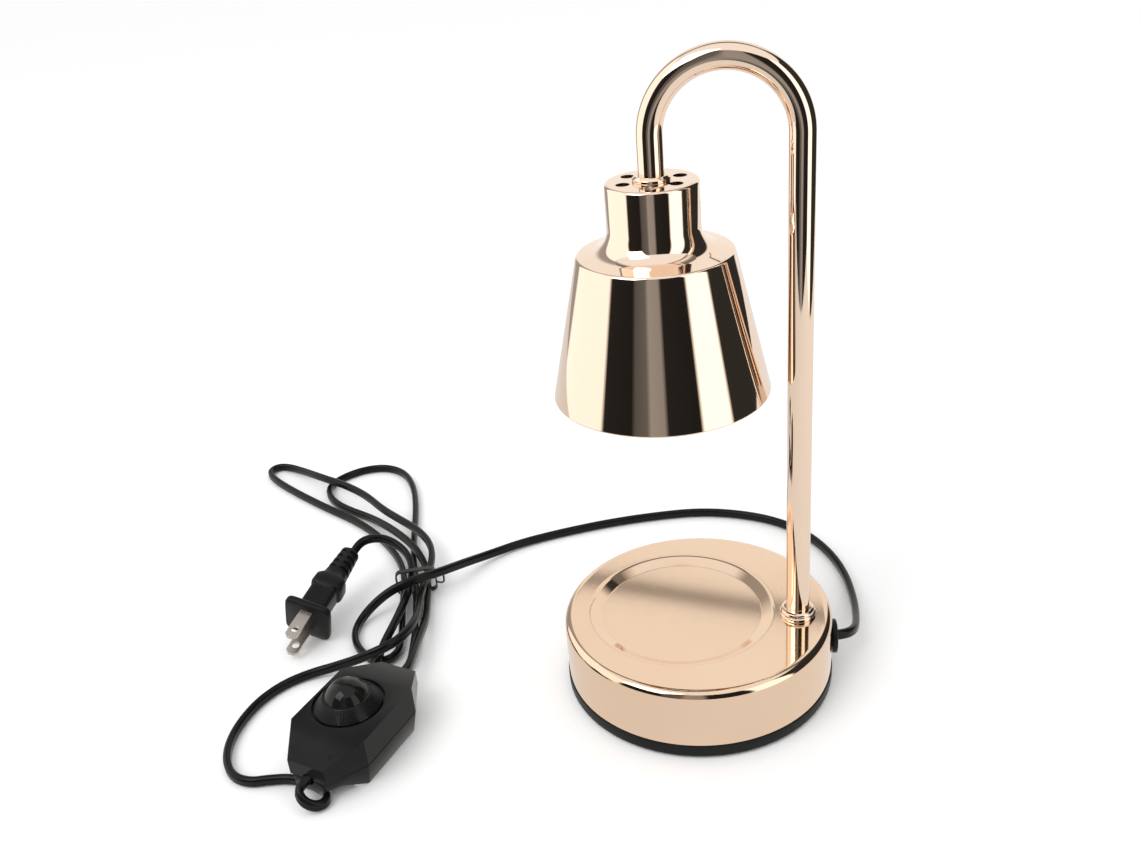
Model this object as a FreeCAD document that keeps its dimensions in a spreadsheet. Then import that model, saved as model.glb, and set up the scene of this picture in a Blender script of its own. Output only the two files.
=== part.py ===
import FreeCAD, Part
import Sketcher
import math
import os

# Candle warmer lamp, millimetres. Origin under the middle of the base, +Z up, tube at +X, head towards -X.

V = FreeCAD.Vector
doc = FreeCAD.newDocument("CandleWarmer")
sheet = doc.addObject("Spreadsheet::Sheet", "Sizes")

SIZES = {
    # Base
    "base_radius": 60.0, "tray_height": 7.0, "tray_floor": 3.6, "tray_wall": 3.0, "cover_step": 0.4,
    "base_height": 33.7, "cover_wall": 1.2, "cover_fillet": 3.6, "seat_offset": 7.0, "seat_radius": 40.4,
    "seat_floor_radius": 35.8, "seat_depth": 2.5, "pad_inset": 8.0, "pad_height": 1.2, "pad_sunk": 0.6,
    "weight_inset": 12.0, "weight_height": 9.0, "screw_circle": 36.0, "screw_radius": 1.5,
    "screw_head_radius": 3.0, "screw_head_height": 1.4, "screw_length": 9.0,
    # Tube and its fastenings
    "post_inset": 15.4, "tube_radius": 5.0, "tube_wall": 1.0, "arch_radius": 27.7, "arch_rise": 16.0,
    "tube_tail": 9.0, "collar_radius": 8.0, "collar_height": 5.0, "collar_groove": 0.6,
    "washer_radius": 9.0, "washer_height": 1.2, "nut_flats": 17.0, "nut_height": 5.0, "fit_gap": 0.15,
    "wire_radius": 1.1, "wire_spacing": 5.2, "wire_tail": 3.0,
    # Cord bushing and wire caps in the base
    "bush_angle": 6.0, "bush_height": 17.5, "bush_flange_radius": 7.6, "bush_flange": 2.6,
    "bush_neck_radius": 5.0, "bush_inside": 5.0, "crimp_radius": 3.2, "crimp_length": 15.0,
    "crimp_side": 14.0,
    # Head
    "cap_height": 228.7, "neck_radius": 18.1, "neck_fillet": 9.0, "cap_edge": 1.4,
    "shoulder_height": 200.9, "shoulder_rise": 1.8, "shoulder_radius": 30.9, "shoulder_edge": 1.6,
    "rim_height": 142.5, "rim_radius": 44.1, "shade_wall": 1.0, "vent_radius": 2.7, "vent_circle": 11.6,
    "cap_collar_radius": 7.4, "cap_collar_height": 3.4, "head_tail": 8.0, "head_nut_flats": 15.0,
    "head_nut_height": 4.2, "bracket_radius": 14.6, "bracket_wall": 1.2, "bracket_width": 13.0,
    "bracket_drop": 13.0, "holder_radius": 12.0, "holder_height": 16.0, "holder_screw_radius": 1.2,
    "holder_screw_side": 9.0, "holder_screw_length": 6.0,
    # Lamp
    "lamp_gap": 0.3, "foot_radius": 11.6, "foot_height": 13.0, "reflector_height": 32.0,
    "reflector_radius": 25.0, "reflector_wall": 1.2, "lens_height": 2.4, "pin_radius": 1.6,
    "pin_head_radius": 2.4, "pin_spacing": 10.0, "pin_length": 6.0, "pin_head_height": 2.0,
    "slot_gap": 0.4, "twist_angle": 20.0,
    # Dimmer
    "dimmer_x": -140.6, "dimmer_y": -69.1, "dimmer_turn": 75.2, "case_half_length": 33.7,
    "case_flat": 17.6, "case_half_width": 18.9, "case_end_width": 9.3, "case_low_end": 8.0,
    "case_height": 24.0, "case_split": 11.1, "case_end_top": 18.4, "case_end_low": 5.6,
    "case_low_flat": 24.4, "case_wall": 1.6, "well_radius": 15.9, "well_depth": 1.8, "knob_shift": 2.0,
    "knob_radius": 15.3, "knob_skirt": 5.4, "knob_top_radius": 9.8, "knob_dome": 6.6, "knob_lift": 0.3,
    "shaft_radius": 3.0, "shaft_gap": 0.05, "pot_radius": 8.0, "pot_height": 6.0, "bushing_radius": 4.4,
    "board_length": 38.0, "board_width": 17.0, "board_thick": 1.6, "board_lift": 4.6, "stud_radius": 2.0,
    "stud_along": 18.0, "stud_side": 6.5, "choke_radius": 5.0, "choke_height": 6.0,
    "capacitor_length": 12.0, "capacitor_width": 6.0, "capacitor_height": 5.4, "triac_length": 10.0,
    "triac_width": 4.2, "triac_height": 5.0, "case_screw_radius": 1.3, "case_screw_head": 2.6,
    "case_screw_along": 27.5, "case_screw_height": 9.0,
    # Cord, tie and plug
    "cord_diameter": 4.8, "port_gap": 0.15, "tie_x": -153.0, "tie_y": 45.6, "tie_turn": 20.0,
    "tie_inside": 19.4, "tie_height": 14.2, "tie_thick": 1.0, "tie_width": 3.0, "tie_lift": 0.15,
    "plug_x": -193.5, "plug_y": -1.5, "plug_z": 13.5, "plug_heading": 263.0, "plug_dip": 10.0,
    "plug_roll": -16.0, "flange_width": 24.0, "flange_height": 23.0, "flange_thick": 3.8,
    "flange_round": 3.0, "plug_width": 14.0, "plug_depth": 13.0, "plug_neck": 10.0, "plug_mid": 26.0,
    "grip_start": 19.0, "grip_length": 10.0, "grip_width": 17.0, "relief_length": 20.0,
    "relief_start_radius": 6.0, "relief_end_radius": 4.8, "relief_groove": 0.9, "blade_width": 6.35,
    "blade_thick": 1.5, "blade_length": 17.0, "blade_spacing": 12.7, "blade_hole": 1.8,
    "blade_hole_place": 11.7, "blade_root": 6.0,
}
for row, (alias, value) in enumerate(SIZES.items(), start=1):
    sheet.set("A%d" % row, alias)
    sheet.set("B%d" % row, str(value))
    sheet.setAlias("B%d" % row, alias)
doc.recompute()

made = []


def size(alias):
    return float(sheet.get(alias))


def bound(text):
    for alias in sorted(SIZES, key=len, reverse=True):
        text = text.replace("<" + alias + ">", "Sizes." + alias)
    return text


def bind(thing, prop, text):
    thing.setExpression(prop, bound(text))


def place(thing, x="0", y="0", z="0"):
    bind(thing, "Placement.Base.x", x)
    bind(thing, "Placement.Base.y", y)
    bind(thing, "Placement.Base.z", z)
    return thing


def cylinder(name, radius, height, x="0", y="0", z="0"):
    thing = doc.addObject("Part::Cylinder", name)
    bind(thing, "Radius", radius)
    bind(thing, "Height", height)
    return place(thing, x, y, z)


def cone(name, low, high, height, x="0", y="0", z="0"):
    thing = doc.addObject("Part::Cone", name)
    bind(thing, "Radius1", low)
    bind(thing, "Radius2", high)
    bind(thing, "Height", height)
    return place(thing, x, y, z)


def block(name, length, width, height, x="0", y="0", z="0"):
    thing = doc.addObject("Part::Box", name)
    bind(thing, "Length", length)
    bind(thing, "Width", width)
    bind(thing, "Height", height)
    return place(thing, "%s - (%s) / 2" % (x, length), "%s - (%s) / 2" % (y, width), z)


def cut(name, base, tool):
    thing = doc.addObject("Part::Cut", name)
    thing.Base = base
    thing.Tool = tool
    return thing


def fuse(name, shapes):
    thing = doc.addObject("Part::MultiFuse", name)
    thing.Shapes = shapes
    thing.Refine = True
    return thing


def common(name, shapes):
    thing = doc.addObject("Part::MultiCommon", name)
    thing.Shapes = shapes
    return thing


def group(name, shapes):
    thing = doc.addObject("Part::Compound", name)
    thing.Links = shapes
    return thing


def keep(thing, label):
    thing.Label = label
    made.append((label, thing))
    return thing


def outline(name, role, corners):
    # A closed sketch on one of the body's own planes, each corner bound to the sheet.
    body = doc.addObject("PartDesign::Body", name)
    plane = [f for f in body.Origin.OriginFeatures if f.Role == role][0]
    sketch = body.newObject("Sketcher::SketchObject", name + "Sketch")
    sketch.AttachmentSupport = [(plane, "")]
    sketch.MapMode = "FlatFace"
    at = [(sheet.evalExpression(bound(u)), sheet.evalExpression(bound(v))) for u, v in corners]
    points = [V(float(u), float(v), 0) for u, v in at]
    count = len(points)
    for i in range(count):
        sketch.addGeometry(Part.LineSegment(points[i], points[(i + 1) % count]), False)
    for i in range(count):
        sketch.addConstraint(Sketcher.Constraint("Coincident", i, 2, (i + 1) % count, 1))
    for i, (u, v) in enumerate(corners):
        for kind, text, value in (("DistanceX", u, points[i].x), ("DistanceY", v, points[i].y)):
            if text == "0":
                axis = -2 if kind == "DistanceX" else -1
                sketch.addConstraint(Sketcher.Constraint("PointOnObject", i, 1, axis))
                continue
            index = sketch.addConstraint(Sketcher.Constraint(kind, -1, 1, i, 1, value))
            sketch.setExpression("Constraints[%d]" % index, bound(text))
    return body, sketch


def turned(name, corners, x="0", y="0"):
    # A turned solid from (radius, height) corners about an upright axis.
    body, sketch = outline(name, "XZ_Plane", corners)
    spin = body.newObject("PartDesign::Revolution", name + "Turn")
    spin.Profile = sketch
    spin.ReferenceAxis = (sketch, ["V_Axis"])
    spin.Angle = 360
    place(body, x, y)
    return body, spin


def slab(name, role, corners, length, both=False):
    # A straight solid drawn out from an outline.
    body, sketch = outline(name, role, corners)
    pad = body.newObject("PartDesign::Pad", name + "Pad")
    pad.Profile = sketch
    bind(pad, "Length", length)
    pad.Midplane = both
    return body, pad


def round_edges(body, feature, name, radius, wanted):
    # Rounds the circular edges at the given (radius, height) places of a turned body.
    doc.recompute()
    edges = []
    for number, edge in enumerate(feature.Shape.Edges, start=1):
        curve = edge.Curve
        if not isinstance(curve, Part.Circle):
            continue
        for r, z in wanted:
            if abs(curve.Radius - r) < 0.01 and abs(curve.Center.z - z) < 0.01:
                edges.append("Edge%d" % number)
    fillet = body.newObject("PartDesign::Fillet", name)
    fillet.Base = (feature, edges)
    bind(fillet, "Radius", radius)
    return fillet


def polar(angle, radius):
    return radius + " * cos(" + angle + " * 1 deg)", radius + " * sin(" + angle + " * 1 deg)"


# Base cover: pressed sheet with a rounded shoulder, the sunk candle seat, the tube's hole and the cord's hole
cover_r = "(<base_radius> - <cover_step>)"
cover_in = "(<base_radius> - <cover_step> - <cover_wall>)"
post_x = "(<base_radius> - <post_inset>)"
arch_z = "(<cap_height> + <arch_rise>)"
body, spin = turned("CoverDrum", [("0", "<tray_height>"), (cover_r, "<tray_height>"),
                                  (cover_r, "<base_height>"), ("0", "<base_height>")])
round_edges(body, spin, "CoverShoulder", "<cover_fillet>",
            [(size("base_radius") - size("cover_step"), size("base_height"))])
core, spin = turned("CoverCore", [("0", "<tray_height> - 1"), (cover_in, "<tray_height> - 1"),
                                  (cover_in, "<base_height> - <cover_wall>"),
                                  ("0", "<base_height> - <cover_wall>")])
round_edges(core, spin, "CoverCoreShoulder", "<cover_fillet> - <cover_wall>",
            [(size("base_radius") - size("cover_step") - size("cover_wall"),
              size("base_height") - size("cover_wall"))])
dish = cone("SeatDish", "<seat_floor_radius> + <cover_wall>", "<seat_radius> + <cover_wall>",
            "<seat_depth> + <cover_wall>", "-<seat_offset>", "0", "<base_height> - <seat_depth> - <cover_wall>")
hollow = cone("SeatHollow", "<seat_floor_radius>", "<seat_radius>", "<seat_depth>", "-<seat_offset>", "0",
              "<base_height> - <seat_depth>")
tube_hole = cylinder("TubeHole", "<tube_radius> + <fit_gap>", "4 * <cover_wall>", post_x, "0",
                     "<base_height> - 2 * <cover_wall>")
bush_hole = cylinder("BushHole", "<bush_neck_radius> + <fit_gap>", "2 * <base_radius>", "0", "0",
                     "<bush_height>")
bush_turn = FreeCAD.Rotation(V(0, 0, 1), size("bush_angle")) * FreeCAD.Rotation(V(0, 1, 0), 90)
bush_hole.Placement = FreeCAD.Placement(V(0, 0, size("bush_height")), bush_turn)
bind(bush_hole, "Placement.Base.z", "<bush_height>")
skin = fuse("CoverSkin", [cut("CoverShell", body, core), dish])
keep(cut("CoverHoled", skin, fuse("CoverOpenings", [hollow, tube_hole, bush_hole])), "base_cover")

# Bottom tray: black dish that closes the base, with a lip inside the cover and a socket for the pad
tray, spin = turned("TrayDish", [
    ("0", "<pad_height> - <pad_sunk>"), ("<base_radius> - 1", "<pad_height> - <pad_sunk>"),
    ("<base_radius>", "<pad_height> - <pad_sunk> + 1"), ("<base_radius>", "<tray_height>"),
    (cover_in + " - <fit_gap>", "<tray_height>"), (cover_in + " - <fit_gap>", "<tray_height> + 3"),
    (cover_in + " - <tray_wall>", "<tray_height> + 3"),
    (cover_in + " - <tray_wall>", "<tray_floor> + <pad_sunk>"),
    ("0", "<tray_floor> + <pad_sunk>")])
pad_socket = cylinder("PadSocket", "(<base_radius> - <pad_inset>) + <fit_gap>", "<pad_height>")
pad = cylinder("PadDisc", "(<base_radius> - <pad_inset>)", "<pad_height>")
screw_holes = []
screws = []
for i in range(3):
    x, y = polar("(%d)" % (60 + 120 * i), "<screw_circle>")
    under = "<pad_height>"
    screw_holes.append(cylinder("ScrewHole%d" % i, "<screw_radius> + <fit_gap>", "6 * <tray_floor>", x, y))
    screw_holes.append(cylinder("HeadHole%d" % i, "<screw_head_radius> + <fit_gap>",
                                "<screw_head_height> + <fit_gap> + " + under, x, y))
    shank = cylinder("ScrewShank%d" % i, "<screw_radius>", "<screw_length>", x, y,
                     under + " + <screw_head_height>")
    head = cylinder("ScrewHead%d" % i, "<screw_head_radius>", "<screw_head_height>", x, y, under)
    drive = cylinder("ScrewDrive%d" % i, "<screw_head_radius> / 2.4", "<screw_head_height> / 2", x, y, under)
    screws.append(cut("Screw%d" % i, fuse("ScrewBlank%d" % i, [shank, head]), drive))
keep(cut("TrayHoled", tray, fuse("TrayHoles", [pad_socket] + screw_holes)), "bottom_tray")
keep(pad, "foot_pad")
keep(group("ScrewSet", screws), "tray_screws")

# Cast weight on the tray's floor, cleared round the tube's nut and bored for the screws
floor_top = "(<tray_floor> + <pad_sunk>)"
weight, spin = turned("WeightDisc", [("0", floor_top), ("(<base_radius> - <weight_inset>)", floor_top),
                                     ("(<base_radius> - <weight_inset>)", floor_top + " + <weight_height>"),
                                     ("0", floor_top + " + <weight_height>")])
relief = cylinder("WeightNotch", "<nut_flats>", "<weight_height> + 2", post_x, "0", floor_top + " - 1")
bores = []
for i in range(3):
    x, y = polar("(%d)" % (60 + 120 * i), "<screw_circle>")
    bores.append(cylinder("WeightBore%d" % i, "<screw_radius> + <fit_gap>", "<weight_height> + 2", x, y,
                          floor_top + " - 1"))
keep(cut("WeightCast", weight, fuse("WeightCuts", [relief] + bores)), "base_weight")

# Tube: two straight legs joined by a half ring, hollow
head_x = "(" + post_x + " - 2 * <arch_radius>)"
tube_low = "(<base_height> - <tube_tail>)"
head_low = "(<cap_height> - <shade_wall> - <head_tail>)"


def bent_rod(name, radius, low, high, shift="0"):
    leg = cylinder(name + "Leg", radius, arch_z + " - (" + low + ")", post_x, shift, low)
    drop = cylinder(name + "Drop", radius, arch_z + " - (" + high + ")", head_x, shift, high)
    ring = doc.addObject("Part::Torus", name + "Ring")
    bind(ring, "Radius1", "<arch_radius>")
    bind(ring, "Radius2", radius)
    ring.Angle3 = 180
    ring.Placement.Rotation = FreeCAD.Rotation(V(1, 0, 0), 90)
    place(ring, post_x + " - <arch_radius>", shift, arch_z)
    return fuse(name, [leg, ring, drop])


keep(cut("TubeHollow", bent_rod("TubeSolid", "<tube_radius>", tube_low, head_low),
         bent_rod("TubeBore", "<tube_radius> - <tube_wall>", tube_low + " - 1", head_low + " - 1")), "arm_tube")
wire_low = "(" + tube_low + " - <wire_tail>)"
wire_high = "(" + head_low + " - <wire_tail>)"
keep(group("WirePair", [bent_rod("WireNear", "<wire_radius>", wire_low, wire_high, "-<wire_spacing> / 2"),
                        bent_rod("WireFar", "<wire_radius>", wire_low, wire_high, "<wire_spacing> / 2")]),
     "lamp_wires")

# Foot collar, washer and lock nut of the tube
bore = "(<tube_radius> + <fit_gap>)"
body, spin = turned("CollarTurned", [
    (bore, "<base_height>"), ("<collar_radius>", "<base_height>"),
    ("<collar_radius>", "<base_height> + 0.44 * <collar_height>"),
    ("<collar_radius> - <collar_groove>", "<base_height> + 0.5 * <collar_height>"),
    ("<collar_radius> - 0.2 * <collar_groove>", "<base_height> + 0.58 * <collar_height>"),
    ("<collar_radius> - 0.2 * <collar_groove>", "<base_height> + 0.86 * <collar_height>"),
    ("<collar_radius> - 2 * <collar_groove>", "<base_height> + <collar_height>"),
    (bore, "<base_height> + <collar_height>")], post_x)
keep(body, "foot_collar")
washer_top = "(<base_height> - <cover_wall>)"
keep(cut("WasherRing", cylinder("WasherDisc", "<washer_radius>", "<washer_height>", post_x, "0",
                                washer_top + " - <washer_height>"),
         cylinder("WasherBore", bore, "3 * <washer_height>", post_x, "0",
                  washer_top + " - 2 * <washer_height>")), "post_washer")


def nut(name, label, flats, height, x, z, hole):
    prism = doc.addObject("Part::Prism", name + "Prism")
    prism.Polygon = 6
    bind(prism, "Circumradius", flats + " / sqrt(3)")
    bind(prism, "Height", height)
    place(prism, x, "0", z)
    keep(cut(name, prism, cylinder(name + "Bore", hole, height + " + 2", x, "0", z + " - 1")), label)


nut("PostNut", "post_nut", "<nut_flats>", "<nut_height>", post_x,
    washer_top + " - <washer_height> - <nut_height>", bore)

# Cord bushing in the cover's wall: flange outside, neck through the hole, square-cut to the cord
bush, spin = turned("BushTurned", [
    ("<cord_diameter> / 2 + <port_gap>", "-<bush_inside> - <cover_wall>"),
    ("<bush_neck_radius>", "-<bush_inside> - <cover_wall>"),
    ("<bush_neck_radius>", "0.35 * <bush_neck_radius> / 5"),
    ("<bush_flange_radius>", "0.35 * <bush_neck_radius> / 5"),
    ("<bush_flange_radius>", "<bush_flange> - 0.8"),
    ("<bush_flange_radius> - 1.6", "<bush_flange>"), ("<cord_diameter> / 2 + <port_gap>", "<bush_flange>")])
bush.Placement = FreeCAD.Placement(V(0, 0, 0), bush_turn)
place(bush, cover_r + " * cos(<bush_angle> * 1 deg)", cover_r + " * sin(<bush_angle> * 1 deg)", "<bush_height>")
keep(bush, "cord_bushing")

# Crimp caps on the joined wires, lying on the weight beside the tube
crimps = []
for i, side in enumerate(("-", "")):
    cap = cylinder("CrimpCap%d" % i, "<crimp_radius>", "<crimp_length>", "0", side + "<crimp_side>",
                   floor_top + " + <weight_height> + <crimp_radius>")
    cap.Placement.Rotation = FreeCAD.Rotation(V(0, 1, 0), 90)
    place(cap, "<screw_circle> / 6", side + "<crimp_side>", floor_top + " + <weight_height> + <crimp_radius>")
    crimps.append(cap)
keep(group("CrimpSet", crimps), "crimp_caps")

# Shade: neck, shoulder and cone spun as one, with vents round the tube
body, spin = turned("ShadeSpun", [
    (bore, "<cap_height>"), ("<neck_radius>", "<cap_height>"),
    ("<neck_radius>", "<shoulder_height> + <shoulder_rise>"), ("<shoulder_radius>", "<shoulder_height>"),
    ("<rim_radius>", "<rim_height>"), ("<rim_radius> - <shade_wall>", "<rim_height>"),
    ("<shoulder_radius> - <shade_wall>", "<shoulder_height> - <shade_wall>"),
    ("<neck_radius> - <shade_wall>", "<shoulder_height> + <shoulder_rise> - <shade_wall>"),
    ("<neck_radius> - <shade_wall>", "<cap_height> - <shade_wall>"),
    (bore, "<cap_height> - <shade_wall>")], head_x)
step = round_edges(body, spin, "CapEdge", "<cap_edge>", [(size("neck_radius"), size("cap_height"))])
step = round_edges(body, step, "NeckFillet", "<neck_fillet>",
                   [(size("neck_radius"), size("shoulder_height") + size("shoulder_rise"))])
step = round_edges(body, step, "ShoulderEdge", "<shoulder_edge>",
                   [(size("shoulder_radius"), size("shoulder_height"))])
vents = []
for i in range(6):
    x, y = polar("(%d)" % (30 + 60 * i), "<vent_circle>")
    vents.append(cylinder("Vent%d" % i, "<vent_radius>", "4 * <shade_wall>", head_x + " + " + x, y,
                          "<cap_height> - 2 * <shade_wall>"))
keep(cut("ShadeVented", body, fuse("VentSet", vents)), "lamp_shade")

# Collar on the cap, lock nut inside it
body, spin = turned("CapCollarTurned", [
    (bore, "<cap_height>"), ("<cap_collar_radius>", "<cap_height>"),
    ("<cap_collar_radius>", "<cap_height> + 0.6 * <cap_collar_height>"),
    ("<cap_collar_radius> - 0.3 * <cap_collar_height>", "<cap_height> + <cap_collar_height>"),
    (bore, "<cap_height> + <cap_collar_height>")], head_x)
keep(body, "cap_collar")
under_cap = "(<cap_height> - <shade_wall>)"
nut("HeadNut", "head_nut", "<head_nut_flats>", "<head_nut_height>", head_x,
    under_cap + " - <bracket_wall> - <head_nut_height>", bore)

# Holder bracket: a strip clamped under the cap, its legs turned in over the lamp holder
foot_z = under_cap + " - <bracket_drop> - <bracket_wall>"
top_strip = common("BracketTop", [
    block("BracketStrip", "<bracket_width>", "2 * <bracket_radius>", "<bracket_wall>", head_x, "0",
          under_cap + " - <bracket_wall>"),
    cylinder("BracketDisc", "<bracket_radius>", "<bracket_wall>", head_x, "0",
             under_cap + " - <bracket_wall>")])
strips = [top_strip]
for i, side in enumerate(("-", "")):
    y_leg = side + "(<bracket_radius> - <bracket_wall>)"
    strips.append(block("BracketLeg%d" % i, "<bracket_width>", "<bracket_wall>", "<bracket_drop>",
                        head_x, y_leg, foot_z))
    strips.append(block("BracketFoot%d" % i, "<bracket_width>", "<bracket_radius> - 0.4 * <holder_radius>",
                        "<bracket_wall>", head_x,
                        side + "(<bracket_radius> + 0.4 * <holder_radius> - <bracket_wall>) / 2", foot_z))
holes = [cylinder("BracketBore", bore, "4 * <bracket_wall>", head_x, "0", under_cap + " - 2 * <bracket_wall>")]
for i, side in enumerate(("-", "")):
    holes.append(cylinder("BracketHole%d" % i, "<holder_screw_radius> + <fit_gap>", "3 * <bracket_wall>",
                          head_x, side + "<holder_screw_side>", foot_z + " - <bracket_wall>"))
keep(cut("BracketBent", fuse("BracketStrips", strips), fuse("BracketHoles", holes)), "holder_bracket")

# Lamp holder: ceramic puck with two curved keyhole slots, wide for the pin heads and narrow for the pin necks
holder_top = "(" + foot_z + ")"
holder_low = "(" + foot_z + " - <holder_height>)"
puck = cylinder("HolderPuck", "<holder_radius>", "<holder_height>", head_x, "0", holder_low)
slots = []


def slot_ring(name, half_width, low, height, start, angle):
    out = cylinder(name + "Out", "<pin_spacing> / 2 + " + half_width, height, head_x, "0", low)
    hole = cylinder(name + "In", "<pin_spacing> / 2 - (" + half_width + ")", height, head_x, "0", low)
    ring = cut(name + "Ring", out, hole)
    sector = cylinder(name + "Sector", "<holder_radius>", height, head_x, "0", low)
    bind(sector, "Angle", angle)
    sector.Placement.Rotation = FreeCAD.Rotation(V(0, 0, 1), start)
    place(sector, head_x, "0", low)
    return common(name, [ring, sector])


for i, start in enumerate((0, 180)):
    tag = "Slot%d" % i
    turn_x = head_x + (" + " if i == 0 else " - ") + "<pin_spacing> / 2"
    deep = "<pin_length> + <slot_gap>"
    wide = "<pin_head_radius> + <slot_gap>"
    thin = "<pin_radius> + <slot_gap>"
    end_turn = start - size("twist_angle")
    end_x = head_x + (" + " if i == 0 else " - ") + "<pin_spacing> / 2 * cos(<twist_angle> * 1 deg)"
    end_y = ("-" if i == 0 else "") + "<pin_spacing> / 2 * sin(<twist_angle> * 1 deg)"
    neck_low = holder_low + " - 1"
    room_low = holder_low + " + <pin_length> - <pin_head_height> - <lamp_gap> - <slot_gap>"
    room = "<pin_head_height> + 2 * <slot_gap> + <lamp_gap>"
    slots.append(cylinder(tag + "NeckHome", thin, deep + " + 1", turn_x, "0", neck_low))
    slots.append(cylinder(tag + "HeadHome", wide, room, turn_x, "0", room_low))
    slots.append(cylinder(tag + "HeadEntry", wide, deep + " + 1", end_x, end_y, neck_low))
    slots.append(slot_ring(tag + "NeckArc", thin, neck_low, deep + " + 1", end_turn, "<twist_angle> * 1 deg"))
    slots.append(slot_ring(tag + "HeadArc", wide, room_low, room, end_turn, "<twist_angle> * 1 deg"))
screw_bores = []
holder_screws = []
for i, side in enumerate(("-", "")):
    y = side + "<holder_screw_side>"
    screw_bores.append(cylinder("HolderBore%d" % i, "<holder_screw_radius> + <fit_gap>",
                                "<holder_screw_length> + 1", head_x, y,
                                holder_top + " - <holder_screw_length> + <bracket_wall>"))
    shank = cylinder("HolderShank%d" % i, "<holder_screw_radius>", "<holder_screw_length>", head_x, y,
                     holder_top + " + <bracket_wall> - <holder_screw_length>")
    head = cylinder("HolderHead%d" % i, "1.8 * <holder_screw_radius>", "<bracket_wall>", head_x, y,
                    holder_top + " + <bracket_wall>")
    holder_screws.append(fuse("HolderScrew%d" % i, [shank, head]))
keep(cut("HolderSlotted", puck, fuse("HolderCuts", slots + screw_bores)), "lamp_holder")
keep(group("HolderScrewSet", holder_screws), "holder_screws")

# Lamp: two headed pins, ceramic foot, reflector cup and front glass
lamp_top = "(" + holder_low + " - <lamp_gap>)"
pins = []
for i, side in enumerate((" - ", " + ")):
    x = head_x + side + "<pin_spacing> / 2"
    stem = cylinder("PinStem%d" % i, "<pin_radius>", "<pin_length> - <pin_head_height>", x, "0", lamp_top)
    knob = cylinder("PinHead%d" % i, "<pin_head_radius>", "<pin_head_height>", x, "0",
                    lamp_top + " + <pin_length> - <pin_head_height>")
    pins.append(fuse("Pin%d" % i, [stem, knob]))
keep(group("PinSet", pins), "lamp_pins")
foot_low = "(" + lamp_top + " - <foot_height>)"
body, spin = turned("FootTurned", [
    ("0", foot_low), ("0.72 * <foot_radius>", foot_low), ("<foot_radius>", foot_low + " + 0.6 * <foot_height>"),
    ("<foot_radius>", lamp_top + " - 1"), ("<foot_radius> - 1", lamp_top), ("0", lamp_top)], head_x)
keep(body, "lamp_foot")
cup_low = "(" + foot_low + " - <reflector_height>)"
body, spin = turned("CupTurned", [
    ("0", foot_low), ("0.72 * <foot_radius>", foot_low),
    ("<reflector_radius> * 0.68", foot_low + " - 0.3 * <reflector_height>"),
    ("<reflector_radius> * 0.93", foot_low + " - 0.72 * <reflector_height>"), ("<reflector_radius>", cup_low),
    ("<reflector_radius> - <reflector_wall>", cup_low),
    ("<reflector_radius> * 0.93 - <reflector_wall>", foot_low + " - 0.72 * <reflector_height>"),
    ("<reflector_radius> * 0.68 - <reflector_wall>",
     foot_low + " - 0.3 * <reflector_height> - <reflector_wall>"),
    ("0", foot_low + " - 2 * <reflector_wall>")], head_x)
keep(body, "lamp_reflector")
body, spin = turned("LensTurned", [
    ("0", cup_low + " - <lens_height>"), ("<reflector_radius> - 1.2", cup_low + " - <lens_height>"),
    ("<reflector_radius>", cup_low + " - <lens_height> + 1.2"), ("<reflector_radius>", cup_low),
    ("0", cup_low)], head_x)
keep(body, "lamp_lens")

# Dimmer, drawn along X about its own middle and then laid in its place
dimmer_spot = FreeCAD.Placement(V(size("dimmer_x"), size("dimmer_y"), 0),
                                FreeCAD.Rotation(V(0, 0, 1), size("dimmer_turn")))


def lay(thing, label):
    doc.recompute()
    base = thing.Placement
    thing.Placement = dimmer_spot.multiply(base)
    bind(thing, "Placement.Base.x", "<dimmer_x> + %s" % repr(thing.Placement.Base.x - size("dimmer_x")))
    bind(thing, "Placement.Base.y", "<dimmer_y> + %s" % repr(thing.Placement.Base.y - size("dimmer_y")))
    bind(thing, "Placement.Rotation.Angle", "<dimmer_turn>")
    return keep(thing, label)


def case_plan(name, end_width, inset, low, high):
    long = "(<case_half_length> - " + inset + ")"
    wide = "(<case_half_width> - " + inset + ")"
    tip = "(" + end_width + " - 0.6 * " + inset + ")"
    flat = "(<case_flat> - 0.2 * " + inset + ")"
    body, pad = slab(name, "XY_Plane", [(long, tip), (flat, wide), ("-" + flat, wide), ("-" + long, tip),
                                        ("-" + long, "-" + tip), ("-" + flat, "-" + wide), (flat, "-" + wide),
                                        (long, "-" + tip)], high + " - " + low)
    place(body, "0", "0", low)
    return body


def upper_side(name, inset, low):
    long = "(<case_half_length> - " + inset + ")"
    body, pad = slab(name, "XZ_Plane", [
        ("-" + long, low), (long, low), (long, "<case_end_top> - " + inset),
        ("<case_flat>", "<case_height> - " + inset),
        ("-<case_flat>", "<case_height> - " + inset), ("-" + long, "<case_end_top> - " + inset)],
        "3 * <case_half_width>", True)
    return body


def lower_side(name, inset, high):
    long = "(<case_half_length> - " + inset + ")"
    flat = "(<case_flat> - " + inset + ")"
    bend = "(<case_low_flat> - 0.4 * " + inset + ")"
    body, pad = slab(name, "XZ_Plane", [
        ("-" + long, "<case_end_low> + " + inset), ("-" + bend, "<case_end_low> + " + inset),
        ("-" + flat, inset), (flat, inset), (bend, "<case_end_low> + " + inset),
        (long, "<case_end_low> + " + inset), (long, high), ("-" + long, high)], "3 * <case_half_width>", True)
    return body


def port(name):
    thing = cylinder(name, "<cord_diameter> / 2 + <port_gap>", "3 * <case_half_length>", "0", "0",
                     "<case_split>")
    thing.Placement.Rotation = FreeCAD.Rotation(V(0, 1, 0), 90)
    return place(thing, "-1.5 * <case_half_length>", "0", "<case_split>")


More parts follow.
